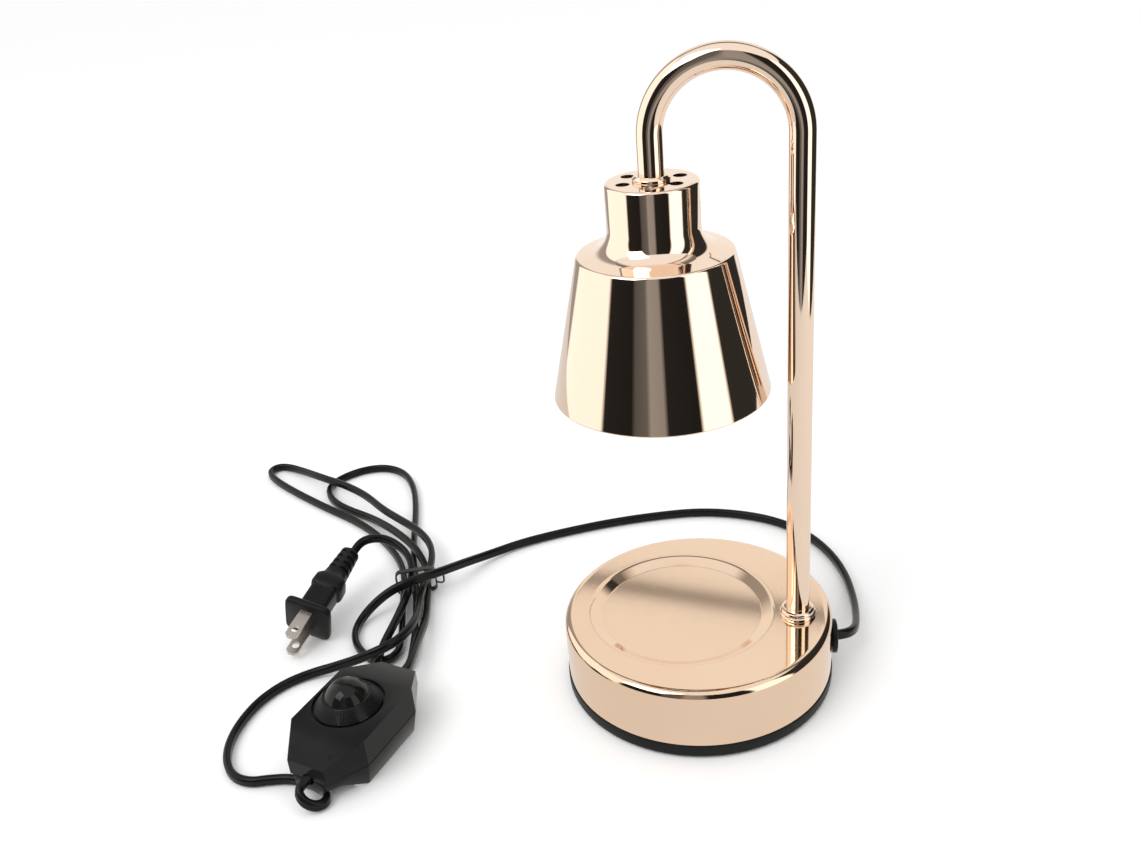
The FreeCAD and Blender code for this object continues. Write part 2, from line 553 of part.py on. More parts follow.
def case_screw(name, radius, height, low):
    out = []
    for i, (a, b) in enumerate(((1, 0), (-1, 0))):
        out.append(cylinder(name + "%d" % i, radius, height, "%d * <stud_along>" % a,
                            "%d * (<case_half_width> - 4 * <case_wall>)" % (1 if a > 0 else -1), low))
    return out


upper_plan = case_plan("UpperPlan", "<case_end_width>", "0", "<case_split>", "2 * <case_height>")
outer = common("UpperOuter", [upper_plan, upper_side("UpperSide", "0", "<case_split>")])
inner = common("UpperInner", [case_plan("UpperPlanIn", "<case_end_width>", "<case_wall>", "<case_split> - 1",
                                        "2 * <case_height>"),
                              upper_side("UpperSideIn", "<case_wall>", "<case_split> - 1")])
well_floor = "(<case_height> - <well_depth>)"
well_disc = cylinder("WellDisc", "<well_radius> + <case_wall>", "<well_depth> + <case_wall>", "0",
                     "<knob_shift>", well_floor + " - <case_wall>")
floor_disc = common("WellFloor", [well_disc, outer])
posts = fuse("CasePosts", case_screw("CasePost", "<case_screw_head>", "<case_split>", "<case_split>"))
posts_in = common("CasePostsIn", [posts, outer])
upper = fuse("UpperBlank", [cut("UpperShell", outer, inner), floor_disc, posts_in])
upper_cuts = fuse("UpperCuts", [
    cylinder("Well", "<well_radius>", "2 * <well_depth>", "0", "<knob_shift>", well_floor),
    cylinder("BushingHole", "<bushing_radius> + <fit_gap>", "6 * <case_wall>", "0", "<knob_shift>",
             well_floor + " - 3 * <case_wall>"), port("UpperPort")]
    + case_screw("UpperScrewHole", "<case_screw_radius> + <fit_gap>", "<case_screw_height>",
                 "<case_split> - 1"))
lay(cut("UpperCase", upper, upper_cuts), "dimmer_upper_case")

outer_low = common("LowerOuter", [case_plan("LowerPlan", "<case_low_end>", "0", "0", "<case_split>"),
                                  lower_side("LowerSide", "0", "<case_split>")])
low_plan = case_plan("LowerPlanIn", "<case_low_end>", "<case_wall>", "0", "2 * <case_split>")
inner_low = common("LowerInner", [low_plan, lower_side("LowerSideIn", "<case_wall>", "2 * <case_split>")])
studs = []
for a in (-1, 1):
    for b in (-1, 1):
        studs.append(cylinder("Stud%d%d" % (a + 1, b + 1), "<stud_radius>", "<board_lift> - <case_wall>",
                              "%d * 0.75 * <stud_along>" % a, "%d * <stud_side>" % b, "<case_wall>"))
low_post_set = fuse("LowPostSet", case_screw("LowPost", "<case_screw_head> + 1", "<case_split>", "0"))
low_posts = common("LowPosts", [low_post_set, outer_low])
lower = fuse("LowerBlank", [cut("LowerShell", outer_low, inner_low), low_posts] + studs)
lower_cuts = fuse("LowerCuts", [port("LowerPort")]
                  + case_screw("LowerScrewHole", "<case_screw_radius> + <fit_gap>", "2 * <case_split>", "-1")
                  + case_screw("LowerHeadHole", "<case_screw_head> + <fit_gap>", "<case_wall>", "0"))
lay(cut("LowerCase", lower, lower_cuts), "dimmer_lower_case")
screw_parts = []
for i, (a, b) in enumerate(((1, 0), (-1, 0))):
    x = "%d * <stud_along>" % a
    y = "%d * (<case_half_width> - 4 * <case_wall>)" % a
    head = cylinder("CaseScrewHead%d" % i, "<case_screw_head>", "<case_wall> - <fit_gap>", x, y, "<fit_gap>")
    shank = cylinder("CaseScrewShank%d" % i, "<case_screw_radius>",
                     "<case_split> + <case_screw_height> - 4", x, y, "<case_wall> - <fit_gap>")
    screw_parts.append(fuse("CaseScrew%d" % i, [head, shank]))
lay(group("CaseScrewSet", screw_parts), "dimmer_screws")

# Circuit board on its studs, with the parts that stand on it
board_low = "<board_lift>"
board_top = "(<board_lift> + <board_thick>)"
lay(block("Board", "<board_length>", "<board_width>", "<board_thick>", "0", "0", board_low), "dimmer_board")
choke_x = "-0.32 * <board_length>"
choke = cut("ChokeRing", cylinder("ChokeOut", "<choke_radius>", "<choke_height>", choke_x, "0", board_top),
            cylinder("ChokeIn", "0.45 * <choke_radius>", "2 * <choke_height>", choke_x, "0", board_top))
capacitor = block("Capacitor", "<capacitor_width>", "<capacitor_length>", "<capacitor_height>",
                  "0.36 * <board_length>", "-0.2 * <board_width>", board_top)
triac = block("Triac", "<triac_length>", "<triac_width>", "<triac_height>", "0.3 * <board_length>",
              "0.36 * <board_width>", board_top)
lay(group("BoardPartSet", [choke, capacitor, triac]), "board_parts")

# Potentiometer under the well, its threaded bushing through the case, standing on the board
pot_top = "(" + well_floor + " - <case_wall>)"
pot_can = fuse("PotCan", [
    cylinder("PotDrum", "<pot_radius>", "<pot_height>", "0", "<knob_shift>", pot_top + " - <pot_height>"),
    cylinder("PotBushing", "<bushing_radius>", "<case_wall> + 0.4 * <well_depth>", "0", "<knob_shift>",
             pot_top),
    block("PotLegs", "<pot_radius>", "1", pot_top + " - <pot_height> - " + board_top, "0",
          "<knob_shift> - 0.6 * <pot_radius>", board_top)])
pot_bore = cylinder("PotBore", "<shaft_radius> + <shaft_gap>", "4 * <pot_height>", "0", "<knob_shift>",
                    pot_top + " - 0.7 * <pot_height>")
lay(cut("PotBored", pot_can, pot_bore), "potentiometer")
shaft_low = "(" + pot_top + " - 0.7 * <pot_height> + 0.2)"
knob_low = "(" + well_floor + " + 0.4 * <well_depth> + <knob_lift>)"
shaft_long = knob_low + " + 0.6 * <knob_skirt> - " + shaft_low
lay(cylinder("Shaft", "<shaft_radius>", shaft_long, "0", "<knob_shift>", shaft_low), "knob_shaft")

# Knob: straight skirt, sloped grip band and a domed crown, bored for the shaft
dome_low = "(" + knob_low + " + <knob_skirt>)"
knob, spin = turned("KnobTurned", [
    ("0", knob_low), ("<knob_radius>", knob_low), ("<knob_radius>", knob_low + " + 0.25 * <knob_skirt>"),
    ("<knob_top_radius>", dome_low), ("0", dome_low)], "0", "<knob_shift>")
crown = doc.addObject("Part::Sphere", "KnobCrown")
crown_radius = "(<knob_top_radius> ^ 2 + <knob_dome> ^ 2) / (2 * <knob_dome>)"
bind(crown, "Radius", crown_radius)
place(crown, "0", "<knob_shift>", dome_low + " + <knob_dome> - " + crown_radius)
cap_zone = cylinder("CrownZone", "<knob_radius>", "2 * <knob_dome>", "0", "<knob_shift>", dome_low)
crown_cap = common("KnobDome", [crown, cap_zone])
knob_bore = cylinder("KnobBore", "<shaft_radius>", "0.6 * <knob_skirt>", "0", "<knob_shift>", knob_low)
lay(cut("KnobBored", fuse("KnobBlank", [knob, crown_cap]), knob_bore), "dimmer_knob")

# Leads: straight runs joined by tangent arcs, each arc as large as its two runs allow
RUN_SHARE = 0.45
LAMP_ROUTE = [
    (64.5, 8.0, 17.3), (68.5, 13.0, 15.5), (70.5, 21.0, 12.5), (71.0, 37.0, 7.5),
    (70.0, 56.0, 4.0), (66.5, 77.0, 2.5), (59.5, 95.0, 2.5), (48.0, 112.0, 2.5),
    (31.5, 125.0, 2.5), (10.5, 131.5, 2.5), (-13.5, 132.5, 2.5), (-38.0, 126.0, 2.5),
    (-62.5, 117.0, 2.5), (-86.0, 105.5, 2.5), (-107.0, 93.0, 2.7), (-122.0, 78.0, 4.0),
    (-131.5, 60.0, 9.5), (-138.5, 44.0, 14.5), (-148.5, 33.5, 16.3), (-160.0, 28.0, 13.0),
    (-169.5, 21.5, 6.5), (-173.5, 11.5, 2.6), (-171.0, 0.5, 2.5), (-164.0, -9.0, 2.5),
    (-155.0, -15.0, 2.5), (-147.5, -14.5, 2.5), (-144.5, -7.0, 2.5), (-147.2, 4.0, 2.5),
    (-151.6, 18.0, 2.6), (-156.3, 32.5, 3.3), (-161.0, 48.5, 3.8), (-167.5, 63.0, 3.0),
    (-178.0, 78.0, 2.5), (-192.5, 93.0, 2.5), (-212.5, 108.0, 2.5), (-234.0, 119.5, 2.5),
    (-256.0, 132.5, 2.5), (-274.0, 144.0, 2.5), (-286.0, 153.0, 2.5), (-292.5, 160.5, 2.5),
    (-291.0, 167.5, 2.5), (-284.0, 169.0, 2.5), (-271.0, 163.0, 3.5), (-249.0, 147.5, 7.6),
    (-230.0, 138.5, 8.2), (-212.5, 127.5, 8.2), (-197.0, 113.0, 8.2), (-181.0, 100.5, 9.2),
    (-166.5, 90.0, 9.6), (-155.0, 77.0, 9.6), (-148.8, 61.5, 9.4), (-147.5, 44.0, 9.3),
    (-144.5, 27.0, 9.2), (-140.0, 12.5, 11.5), (-138.0, -1.5, 14.5), (-140.0, -14.0, 15.7),
    (-146.5, -21.5, 15.0), (-157.5, -24.0, 10.5), (-170.0, -24.0, 5.0), (-182.0, -27.5, 2.6),
    (-191.5, -36.0, 2.5), (-198.0, -48.0, 2.5), (-200.5, -61.5, 2.5), (-200.0, -75.0, 2.5),
    (-196.0, -87.0, 2.5), (-188.5, -96.0, 2.5), (-179.5, -98.5, 2.5), (-171.0, -95.5, 2.5),
    (-162.5, -93.0, 2.5), (-154.5, -94.0, 2.5), (-148.0, -97.0, 2.5), (-142.7, -100.9, 2.5),
    (-141.0, -105.6, 2.5), (-143.6, -110.4, 3.0), (-149.0, -111.0, 6.4), (-151.9, -106.8, 10.2)]
PLUG_ROUTE = [
    (-131.3, -31.0, 11.1), (-132.0, -22.0, 10.6), (-134.0, -10.0, 9.4), (-136.0, 3.0, 7.4),
    (-138.2, 16.0, 5.0), (-142.5, 30.5, 3.4), (-146.5, 45.0, 3.8), (-152.0, 60.0, 3.8),
    (-161.0, 72.0, 8.2), (-174.0, 84.5, 8.4), (-189.0, 98.0, 6.4), (-204.5, 111.0, 3.2),
    (-219.5, 118.5, 2.5), (-233.0, 126.5, 2.5), (-242.0, 137.0, 2.5), (-244.5, 148.0, 2.5),
    (-239.5, 159.0, 2.5), (-229.5, 168.5, 2.5), (-216.0, 172.0, 2.5), (-202.0, 165.5, 2.5),
    (-190.5, 149.0, 2.5), (-182.0, 128.0, 2.5), (-175.5, 107.5, 2.5), (-169.5, 87.5, 2.5),
    (-162.5, 68.0, 2.9), (-154.5, 48.0, 3.8), (-148.0, 29.0, 3.2), (-142.0, 10.5, 2.5),
    (-138.0, -6.0, 2.5), (-136.0, -16.0, 2.5), (-138.0, -24.0, 2.5), (-144.0, -28.0, 2.5),
    (-149.8, -25.0, 4.0), (-150.5, -17.5, 7.8), (-151.0, -6.0, 8.4), (-151.2, 7.0, 8.4),
    (-152.0, 24.0, 8.8), (-154.2, 41.0, 9.3), (-156.6, 51.0, 11.6), (-161.0, 58.0, 15.2),
    (-168.0, 61.5, 19.0), (-175.5, 62.0, 22.0), (-182.3, 58.8, 23.3), (-186.5, 53.5, 22.6)]


def lead(route):
    # The path of a lead, its length and the points that measure its gap.
    points = [V(*p) for p in route]
    edges = []
    marks = []
    start = points[0]
    length = 0.0
    tightest = 1e9
    for before, corner, after in zip(points, points[1:], points[2:]):
        back = before - corner
        on = after - corner
        trim = RUN_SHARE * min(back.Length, on.Length)
        back.normalize()
        on.normalize()
        half = back.getAngle(on) / 2
        radius = trim * math.tan(half)
        tightest = min(tightest, radius)
        enter = corner + back * trim
        leave = corner + on * trim
        middle = back + on
        middle.normalize()
        inner_point = corner + middle * (radius / math.sin(half) - radius)
        edges.append(Part.LineSegment(start, enter).toShape())
        edges.append(Part.Arc(enter, inner_point, leave).toShape())
        start = leave
    edges.append(Part.LineSegment(start, points[-1]).toShape())
    for edge in edges:
        length += edge.Length
        marks += edge.discretize(Distance=1.0)
    return Part.Wire(edges), length, marks, tightest


def least_gap(marks, others, apart, diameter):
    best = 1e9
    for i, p in enumerate(marks):
        for j, q in enumerate(others):
            if others is marks and abs(i - j) < apart:
                continue
            best = min(best, (p - q).Length)
    return best - diameter


def lead_tube(name, label, route):
    radius = size("cord_diameter") / 2
    wire, length, marks, tightest = lead(route)
    first = wire.Edges[0]
    ring = Part.Wire(Part.Circle(V(*route[0]), first.tangentAt(first.FirstParameter), radius).toShape())
    tube = Part.BRepOffsetAPI.MakePipeShell(wire)
    tube.add(ring)
    tube.build()
    tube.makeSolid()
    thing = doc.addObject("Part::Feature", name)
    thing.Shape = tube.shape()
    keep(thing, label)
    print(label, "length %.0f" % length, "tightest radius %.1f" % tightest,
          "volume share %.4f" % (thing.Shape.Volume / (math.pi * radius ** 2 * length)),
          "gap to itself %.2f" % least_gap(marks, marks, 18, 2 * radius))
    return marks


dimmer_axis = FreeCAD.Rotation(V(0, 0, 1), size("dimmer_turn"))
dimmer_middle = V(size("dimmer_x"), size("dimmer_y"), size("case_split"))
port_reach = dimmer_axis.multVec(V(size("case_half_length") - size("case_wall"), 0, 0))
front_port = dimmer_middle - port_reach
rear_port = dimmer_middle + port_reach
bush_axis = FreeCAD.Rotation(V(0, 0, 1), size("bush_angle")).multVec(V(1, 0, 0))
bush_seat = bush_axis * (size("base_radius") - size("cover_step")) + V(0, 0, size("bush_height"))
plug_turn = FreeCAD.Rotation(size("plug_heading"), size("plug_dip"), size("plug_roll"))
plug_spot = V(size("plug_x"), size("plug_y"), size("plug_z"))
plug_long = size("grip_start") + size("grip_length") + size("relief_length")
relief_end = plug_spot - plug_turn.multVec(V(plug_long, 0, 0))
lamp_marks = lead_tube("LampLead", "lamp_lead", [tuple(bush_seat)] + LAMP_ROUTE + [tuple(front_port)])
plug_marks = lead_tube("PlugLead", "plug_lead", [tuple(rear_port)] + PLUG_ROUTE + [tuple(relief_end)])
print("gap between leads %.2f" % least_gap(lamp_marks, plug_marks, 0, size("cord_diameter")))

# Twist tie: a flat band round the gathered loops
tie_long = "<tie_inside> + 2 * <tie_thick>"
band = cut("TieBand", block("TieOut", tie_long, "<tie_width>", "<tie_height>", "0", "0", "<tie_lift>"),
           block("TieIn", "<tie_inside>", "2 * <tie_width>", "<tie_height> - 2 * <tie_thick>", "0", "0",
                 "<tie_lift> + <tie_thick>"))
band.Placement = FreeCAD.Placement(V(size("tie_x"), size("tie_y"), 0),
                                   FreeCAD.Rotation(V(0, 0, 1), size("tie_turn")))
bind(band, "Placement.Base.x", "<tie_x>")
bind(band, "Placement.Base.y", "<tie_y>")
bind(band, "Placement.Rotation.Angle", "<tie_turn>")
keep(band, "twist_tie")


# Plug: flange, body, grip and grooved relief moulded as one, drawn along X and then laid down
def plug_lay(thing, label):
    thing.Placement = FreeCAD.Placement(plug_spot, plug_turn)
    bind(thing, "Placement.Base.x", "<plug_x>")
    bind(thing, "Placement.Base.y", "<plug_y>")
    bind(thing, "Placement.Base.z", "<plug_z>")
    return keep(thing, label)


def along(name, low, high, height, x):
    # A cone or cylinder lying along X, from x backwards.
    thing = cone(name, low, high, height)
    thing.Placement.Rotation = FreeCAD.Rotation(V(0, 1, 0), -90)
    return place(thing, x)


flange = block("PlugFlange", "<flange_thick>", "<flange_width>", "<flange_height>",
               "-<flange_thick> / 2", "0", "-<flange_height> / 2")
corners = doc.addObject("Part::Fillet", "PlugFlangeRound")
doc.recompute()
corners.Base = flange
turn = size("flange_round")
corners.Edges = [(n, turn, turn) for n, e in enumerate(flange.Shape.Edges, start=1)
                 if abs(e.tangentAt(e.FirstParameter).x) > 0.99]
middle = block("PlugMiddle", "<grip_start> + <grip_length> - <flange_thick>", "<plug_width>", "<plug_depth>",
               "-(<grip_start> + <grip_length> + <flange_thick>) / 2", "0", "-<plug_depth> / 2")
grip = block("PlugGrip", "<grip_length>", "<grip_width>", "<plug_depth> + 1",
             "-<grip_start> - <grip_length> / 2", "0", "-<plug_depth> / 2 - 0.5")
relief = along("PlugRelief", "<relief_start_radius>", "<relief_end_radius>", "<relief_length>",
               "-<grip_start> - <grip_length>")
grooves = []
for i in range(4):
    spot = "-<grip_start> - <grip_length> - <relief_length> * %.2f" % (0.22 + 0.2 * i)
    wide = "2 * <relief_start_radius>"
    thin = "<relief_end_radius> - <relief_groove>"
    ring = along("ReliefRing%d" % i, wide, wide, "<relief_length> / 12", spot)
    keepout = along("ReliefCore%d" % i, thin, thin, "<relief_length> / 12", spot)
    grooves.append(cut("ReliefGroove%d" % i, ring, keepout))
mould = cut("PlugGrooved", fuse("PlugBlank", [corners, middle, grip, relief]), fuse("ReliefGrooves", grooves))
blades = []
pockets = []
for i, side in enumerate(("-", "")):
    z = side + "<blade_spacing> / 2"
    blank = block("BladeBlank%d" % i, "<blade_length> + <blade_root>", "<blade_width>", "<blade_thick>",
                  "(<blade_length> - <blade_root>) / 2", "0", z + " - <blade_thick> / 2")
    eye = cylinder("BladeEye%d" % i, "<blade_hole>", "3 * <blade_thick>", "<blade_hole_place>", "0",
                   z + " - 1.5 * <blade_thick>")
    blades.append(cut("Blade%d" % i, blank, eye))
    pockets.append(block("BladePocket%d" % i, "<blade_root> + 1", "<blade_width>", "<blade_thick>",
                         "-<blade_root> / 2 + 0.5", "0", z + " - <blade_thick> / 2"))
plug_lay(cut("PlugMould", mould, fuse("BladePockets", pockets)), "plug_body")
plug_lay(group("BladePair", blades), "plug_blades")

# Build, check every object and write each sub-part
doc.recompute()
for thing in doc.Objects:
    if "Invalid" in thing.State or "Error" in thing.State:
        raise RuntimeError("failed: %s %s" % (thing.Name, thing.State))
for label, thing in made:
    if thing.Shape.isNull() or not thing.Shape.isValid():
        raise RuntimeError("bad shape: " + label)
os.makedirs("parts", exist_ok=True)
for label, thing in made:
    thing.Shape.exportStep("parts/%s.step" % label)
    box = thing.Shape.BoundBox
    print("%-18s solids %d  volume %.0f" % (label, len(thing.Shape.Solids), thing.Shape.Volume),
          " x %.1f %.1f  y %.1f %.1f" % (box.XMin, box.XMax, box.YMin, box.YMax),
          " z %.1f %.1f" % (box.ZMin, box.ZMax))
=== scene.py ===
import math
import bmesh
import bpy
from mathutils import Matrix, Vector


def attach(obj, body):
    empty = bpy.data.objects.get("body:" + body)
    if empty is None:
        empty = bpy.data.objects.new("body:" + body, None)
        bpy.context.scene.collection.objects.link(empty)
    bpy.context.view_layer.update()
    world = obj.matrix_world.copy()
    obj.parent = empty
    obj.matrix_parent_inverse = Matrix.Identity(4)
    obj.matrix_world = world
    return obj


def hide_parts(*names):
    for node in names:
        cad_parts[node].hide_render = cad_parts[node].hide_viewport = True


mm = 0.001
weldGap = 0.0005
axisGap = 1e-6
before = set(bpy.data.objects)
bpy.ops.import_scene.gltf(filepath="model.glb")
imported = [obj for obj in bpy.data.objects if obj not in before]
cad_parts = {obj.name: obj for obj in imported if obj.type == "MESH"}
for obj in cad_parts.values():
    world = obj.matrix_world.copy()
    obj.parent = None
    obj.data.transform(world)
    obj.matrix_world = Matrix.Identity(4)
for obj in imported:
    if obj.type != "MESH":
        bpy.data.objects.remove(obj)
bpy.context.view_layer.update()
print("frame loaded,", len(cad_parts), "nodes")


# materials, all on object coordinates

def addNode(tree, kind, **inputs):
    node = tree.nodes.new(kind)
    for socket, value in inputs.items():
        node.inputs[socket.replace("_", " ")].default_value = value
    return node


texture = {"patchDetail": 4.0, "patchRough": 0.6, "grainDetail": 3.0, "grainRough": 0.55, "tintFrom": 0.32,
           "tintTo": 0.7, "glossFrom": 0.3, "glossTo": 0.7, "bumpDepth": 0.0001}


def finish(name, look, s):
    mat = bpy.data.materials.new(name)
    mat.use_nodes = True
    tree = mat.node_tree
    shader = tree.nodes["Principled BSDF"]
    for socket, value in look.get("set", {}).items():
        shader.inputs[socket].default_value = value
    coords = tree.nodes.new("ShaderNodeTexCoord")
    patch = addNode(tree, "ShaderNodeTexNoise", Scale=look["patchScale"], Detail=s["patchDetail"],
                    Roughness=s["patchRough"])
    tree.links.new(coords.outputs["Object"], patch.inputs["Vector"])
    tint = tree.nodes.new("ShaderNodeValToRGB")
    for stop, position, color in zip(tint.color_ramp.elements, (s["tintFrom"], s["tintTo"]), look["colors"]):
        stop.position = position
        stop.color = (*color, 1)
    tree.links.new(patch.outputs["Fac"], tint.inputs["Fac"])
    tree.links.new(tint.outputs["Color"], shader.inputs["Base Color"])
    grain = addNode(tree, "ShaderNodeTexNoise", Scale=look["grainScale"], Detail=s["grainDetail"],
                    Roughness=s["grainRough"])
    tree.links.new(coords.outputs["Object"], grain.inputs["Vector"])
    gloss = addNode(tree, "ShaderNodeMapRange", From_Min=s["glossFrom"], From_Max=s["glossTo"],
                    To_Min=look["rough"][0], To_Max=look["rough"][1])
    tree.links.new((patch if look.get("smudged") else grain).outputs["Fac"], gloss.inputs["Value"])
    tree.links.new(gloss.outputs["Result"], shader.inputs["Roughness"])
    if look.get("bump"):
        depth = look.get("bumpDepth", s["bumpDepth"])
        bump = addNode(tree, "ShaderNodeBump", Strength=look["bump"], Distance=depth)
        tree.links.new(grain.outputs["Fac"], bump.inputs["Height"])
        tree.links.new(bump.outputs["Normal"], shader.inputs["Normal"])
    return mat


looks = {
    "mirrorGold": {"colors": [(0.91, 0.72, 0.575), (0.94, 0.75, 0.605)], "patchScale": 9, "grainScale": 60,
                   "rough": (0.035, 0.07), "smudged": True, "set": {"Metallic": 1.0}},
    "satinGold": {"colors": [(0.85, 0.63, 0.46), (0.89, 0.67, 0.50)], "patchScale": 14, "grainScale": 2600,
                  "rough": (0.055, 0.08), "bump": 0.05, "bumpDepth": 0.00003, "set": {"Metallic": 1.0}},
    "trayBlack": {"colors": [(0.007, 0.007, 0.007), (0.011, 0.011, 0.011)], "patchScale": 40,
                  "grainScale": 1800, "rough": (0.38, 0.5), "bump": 0.2,
                  "set": {"Specular IOR Level": 0.15}},
    "caseBlack": {"colors": [(0.008, 0.0078, 0.0078), (0.012, 0.0116, 0.0116)], "patchScale": 60,
                  "grainScale": 2400, "rough": (0.13, 0.22), "bump": 0.05,
                  "set": {"Specular IOR Level": 0.14}},
    "knobBlack": {"colors": [(0.005, 0.005, 0.005), (0.009, 0.009, 0.009)], "patchScale": 50,
                  "grainScale": 900, "rough": (0.06, 0.1), "smudged": True,
                  "set": {"Specular IOR Level": 0.24}},
    "ribBlack": {"colors": [(0.007, 0.007, 0.007), (0.012, 0.012, 0.012)], "patchScale": 50,
                 "grainScale": 1500, "rough": (0.3, 0.4), "bump": 0.1, "set": {"Specular IOR Level": 0.25}},
    "vinylBlack": {"colors": [(0.004, 0.004, 0.004), (0.008, 0.008, 0.008)], "patchScale": 45,
                   "grainScale": 900, "rough": (0.2, 0.27), "smudged": True,
                   "set": {"Specular IOR Level": 0.18}},
    "plugBlack": {"colors": [(0.006, 0.006, 0.006), (0.010, 0.010, 0.010)], "patchScale": 60,
                  "grainScale": 1500, "rough": (0.28, 0.4), "bump": 0.1,
                  "set": {"Specular IOR Level": 0.16}},
    "tieBlack": {"colors": [(0.012, 0.012, 0.012), (0.02, 0.02, 0.02)], "patchScale": 60,
                 "grainScale": 1200, "rough": (0.3, 0.4), "bump": 0.1, "set": {"Specular IOR Level": 0.4}},
    "bladeNickel": {"colors": [(0.55, 0.50, 0.45), (0.62, 0.57, 0.52)], "patchScale": 120,
                    "grainScale": 1600, "rough": (0.25, 0.38), "bump": 0.08, "set": {"Metallic": 1.0}},
    "zincPlate": {"colors": [(0.50, 0.51, 0.52), (0.62, 0.62, 0.62)], "patchScale": 90, "grainScale": 1200,
                  "rough": (0.3, 0.45), "bump": 0.1, "set": {"Metallic": 1.0}},
    "castIron": {"colors": [(0.10, 0.10, 0.10), (0.16, 0.16, 0.16)], "patchScale": 60, "grainScale": 500,
                 "rough": (0.6, 0.8), "bump": 0.5, "set": {"Metallic": 1.0}},
    "footFoam": {"colors": [(0.02, 0.02, 0.02), (0.035, 0.035, 0.035)], "patchScale": 80,
                 "grainScale": 1500, "rough": (0.8, 0.95), "bump": 0.6, "set": {"Specular IOR Level": 0.2}},
    "whiteSteatite": {"colors": [(0.78, 0.75, 0.70), (0.84, 0.82, 0.77)], "patchScale": 50,
                      "grainScale": 700, "rough": (0.35, 0.5), "bump": 0.15},
    "wireWhite": {"colors": [(0.76, 0.76, 0.74), (0.82, 0.82, 0.80)], "patchScale": 50, "grainScale": 700,
                  "rough": (0.3, 0.4)},
    "bulbMirror": {"colors": [(0.80, 0.79, 0.77), (0.88, 0.87, 0.85)], "patchScale": 90, "grainScale": 320,
                   "rough": (0.08, 0.16), "bump": 0.25, "bumpDepth": 0.0006, "set": {"Metallic": 1.0}},
    "bulbGlass": {"colors": [(0.95, 0.94, 0.90), (0.98, 0.97, 0.94)], "patchScale": 60, "grainScale": 260,
                  "rough": (0.12, 0.22), "bump": 0.3, "bumpDepth": 0.0005,
                  "set": {"Transmission Weight": 0.85, "IOR": 1.5}},
    "boardGreen": {"colors": [(0.03, 0.14, 0.06), (0.05, 0.2, 0.09)], "patchScale": 160, "grainScale": 900,
                   "rough": (0.3, 0.45), "bump": 0.1},
    "chipDark": {"colors": [(0.03, 0.03, 0.035), (0.05, 0.05, 0.055)], "patchScale": 100, "grainScale": 900,
                 "rough": (0.3, 0.45), "bump": 0.1},
}
mats = {name: finish(name, look, texture) for name, look in looks.items()}
print("materials made,", len(mats))


# mesh helpers, sizes in millimetres

def turns(count):
    return [2 * math.pi * k / count for k in range(count)]


def linked(name, data):
    thing = bpy.data.objects.new(name, data)
    bpy.context.scene.collection.objects.link(thing)
    return thing


def settled(thing):
    # the mesh that an object's curve or modifiers come to; the object itself goes
    mesh = bpy.data.meshes.new_from_object(thing.evaluated_get(bpy.context.evaluated_depsgraph_get()))
    bpy.data.objects.remove(thing)
    return mesh


def joined(name, meshes):
    bm = bmesh.new()
    for mesh in meshes:
        bm.from_mesh(mesh)
    out = bpy.data.meshes.new(name)
    bm.to_mesh(out)
    bm.free()
    return out


def addPiece(name, mesh, material, body="lamp", sharp=32, replaced=(), flatFrom=None):
    if material:
        mesh.materials.clear()
        mesh.materials.append(mats[material])
    # faces from this area up, in square millimetres, are shaded flat
    limit = flatFrom * mm * mm if flatFrom else math.inf
    mesh.polygons.foreach_set("use_smooth", [face.area < limit for face in mesh.polygons])
    mesh.set_sharp_from_angle(angle=math.radians(sharp))
    piece = linked(name, mesh)
    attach(piece, body)
    if replaced:
        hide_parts(*replaced)
    return piece


def toMesh(name, bm, place=None):
    bmesh.ops.remove_doubles(bm, verts=bm.verts, dist=weldGap)
    bmesh.ops.recalc_face_normals(bm, faces=bm.faces)
    bmesh.ops.scale(bm, vec=(mm, mm, mm), verts=bm.verts)
    mesh = bpy.data.meshes.new(name)
    if place:
        bmesh.ops.transform(bm, matrix=place, verts=bm.verts)
    bm.to_mesh(mesh)
    bm.free()
    return mesh


def metres(matrix):
    out = matrix.copy()
    out.translation = matrix.translation * mm
    return out


def roundCorners(corners, steps):
    # corners are (x, y) or (x, y, radius), as a closed outline
    out = []
    count = len(corners)
    for i, corner in enumerate(corners):
        here = Vector(corner[:2])
        if len(corner) < 3 or corner[2] <= 0:
            out.append(here)
            continue
        back = (Vector(corners[i - 1][:2]) - here).normalized()
        on = (Vector(corners[(i + 1) % count][:2]) - here).normalized()
        half = back.angle(on) / 2
        trim = corner[2] / math.tan(half)
        middle = here + (back + on).normalized() * corner[2] / math.sin(half)
        start = here + back * trim - middle
        end = here + on * trim - middle
        turn = start.angle_signed(end)
        for k in range(steps + 1):
            a = -turn * k / steps
            out.append(middle + Vector((start.x * math.cos(a) - start.y * math.sin(a),
                                        start.x * math.sin(a) + start.y * math.cos(a))))
    return out


def turned(name, profile, steps, place=None):
    # profile is a closed outline of (radius, height)
    bm = bmesh.new()
    rings = [[bm.verts.new((p[0] * math.cos(a), p[0] * math.sin(a), p[1])) for p in profile]
             for a in turns(steps)]
    count = len(profile)
    for k in range(steps):
        near, far = rings[k], rings[(k + 1) % steps]
        for i in range(count):
            j = (i + 1) % count
            if profile[i][0] < axisGap and profile[j][0] < axisGap:
                continue
            bm.faces.new((near[i], far[i], far[j], near[j]))
    return toMesh(name, bm, metres(place) if place else None)


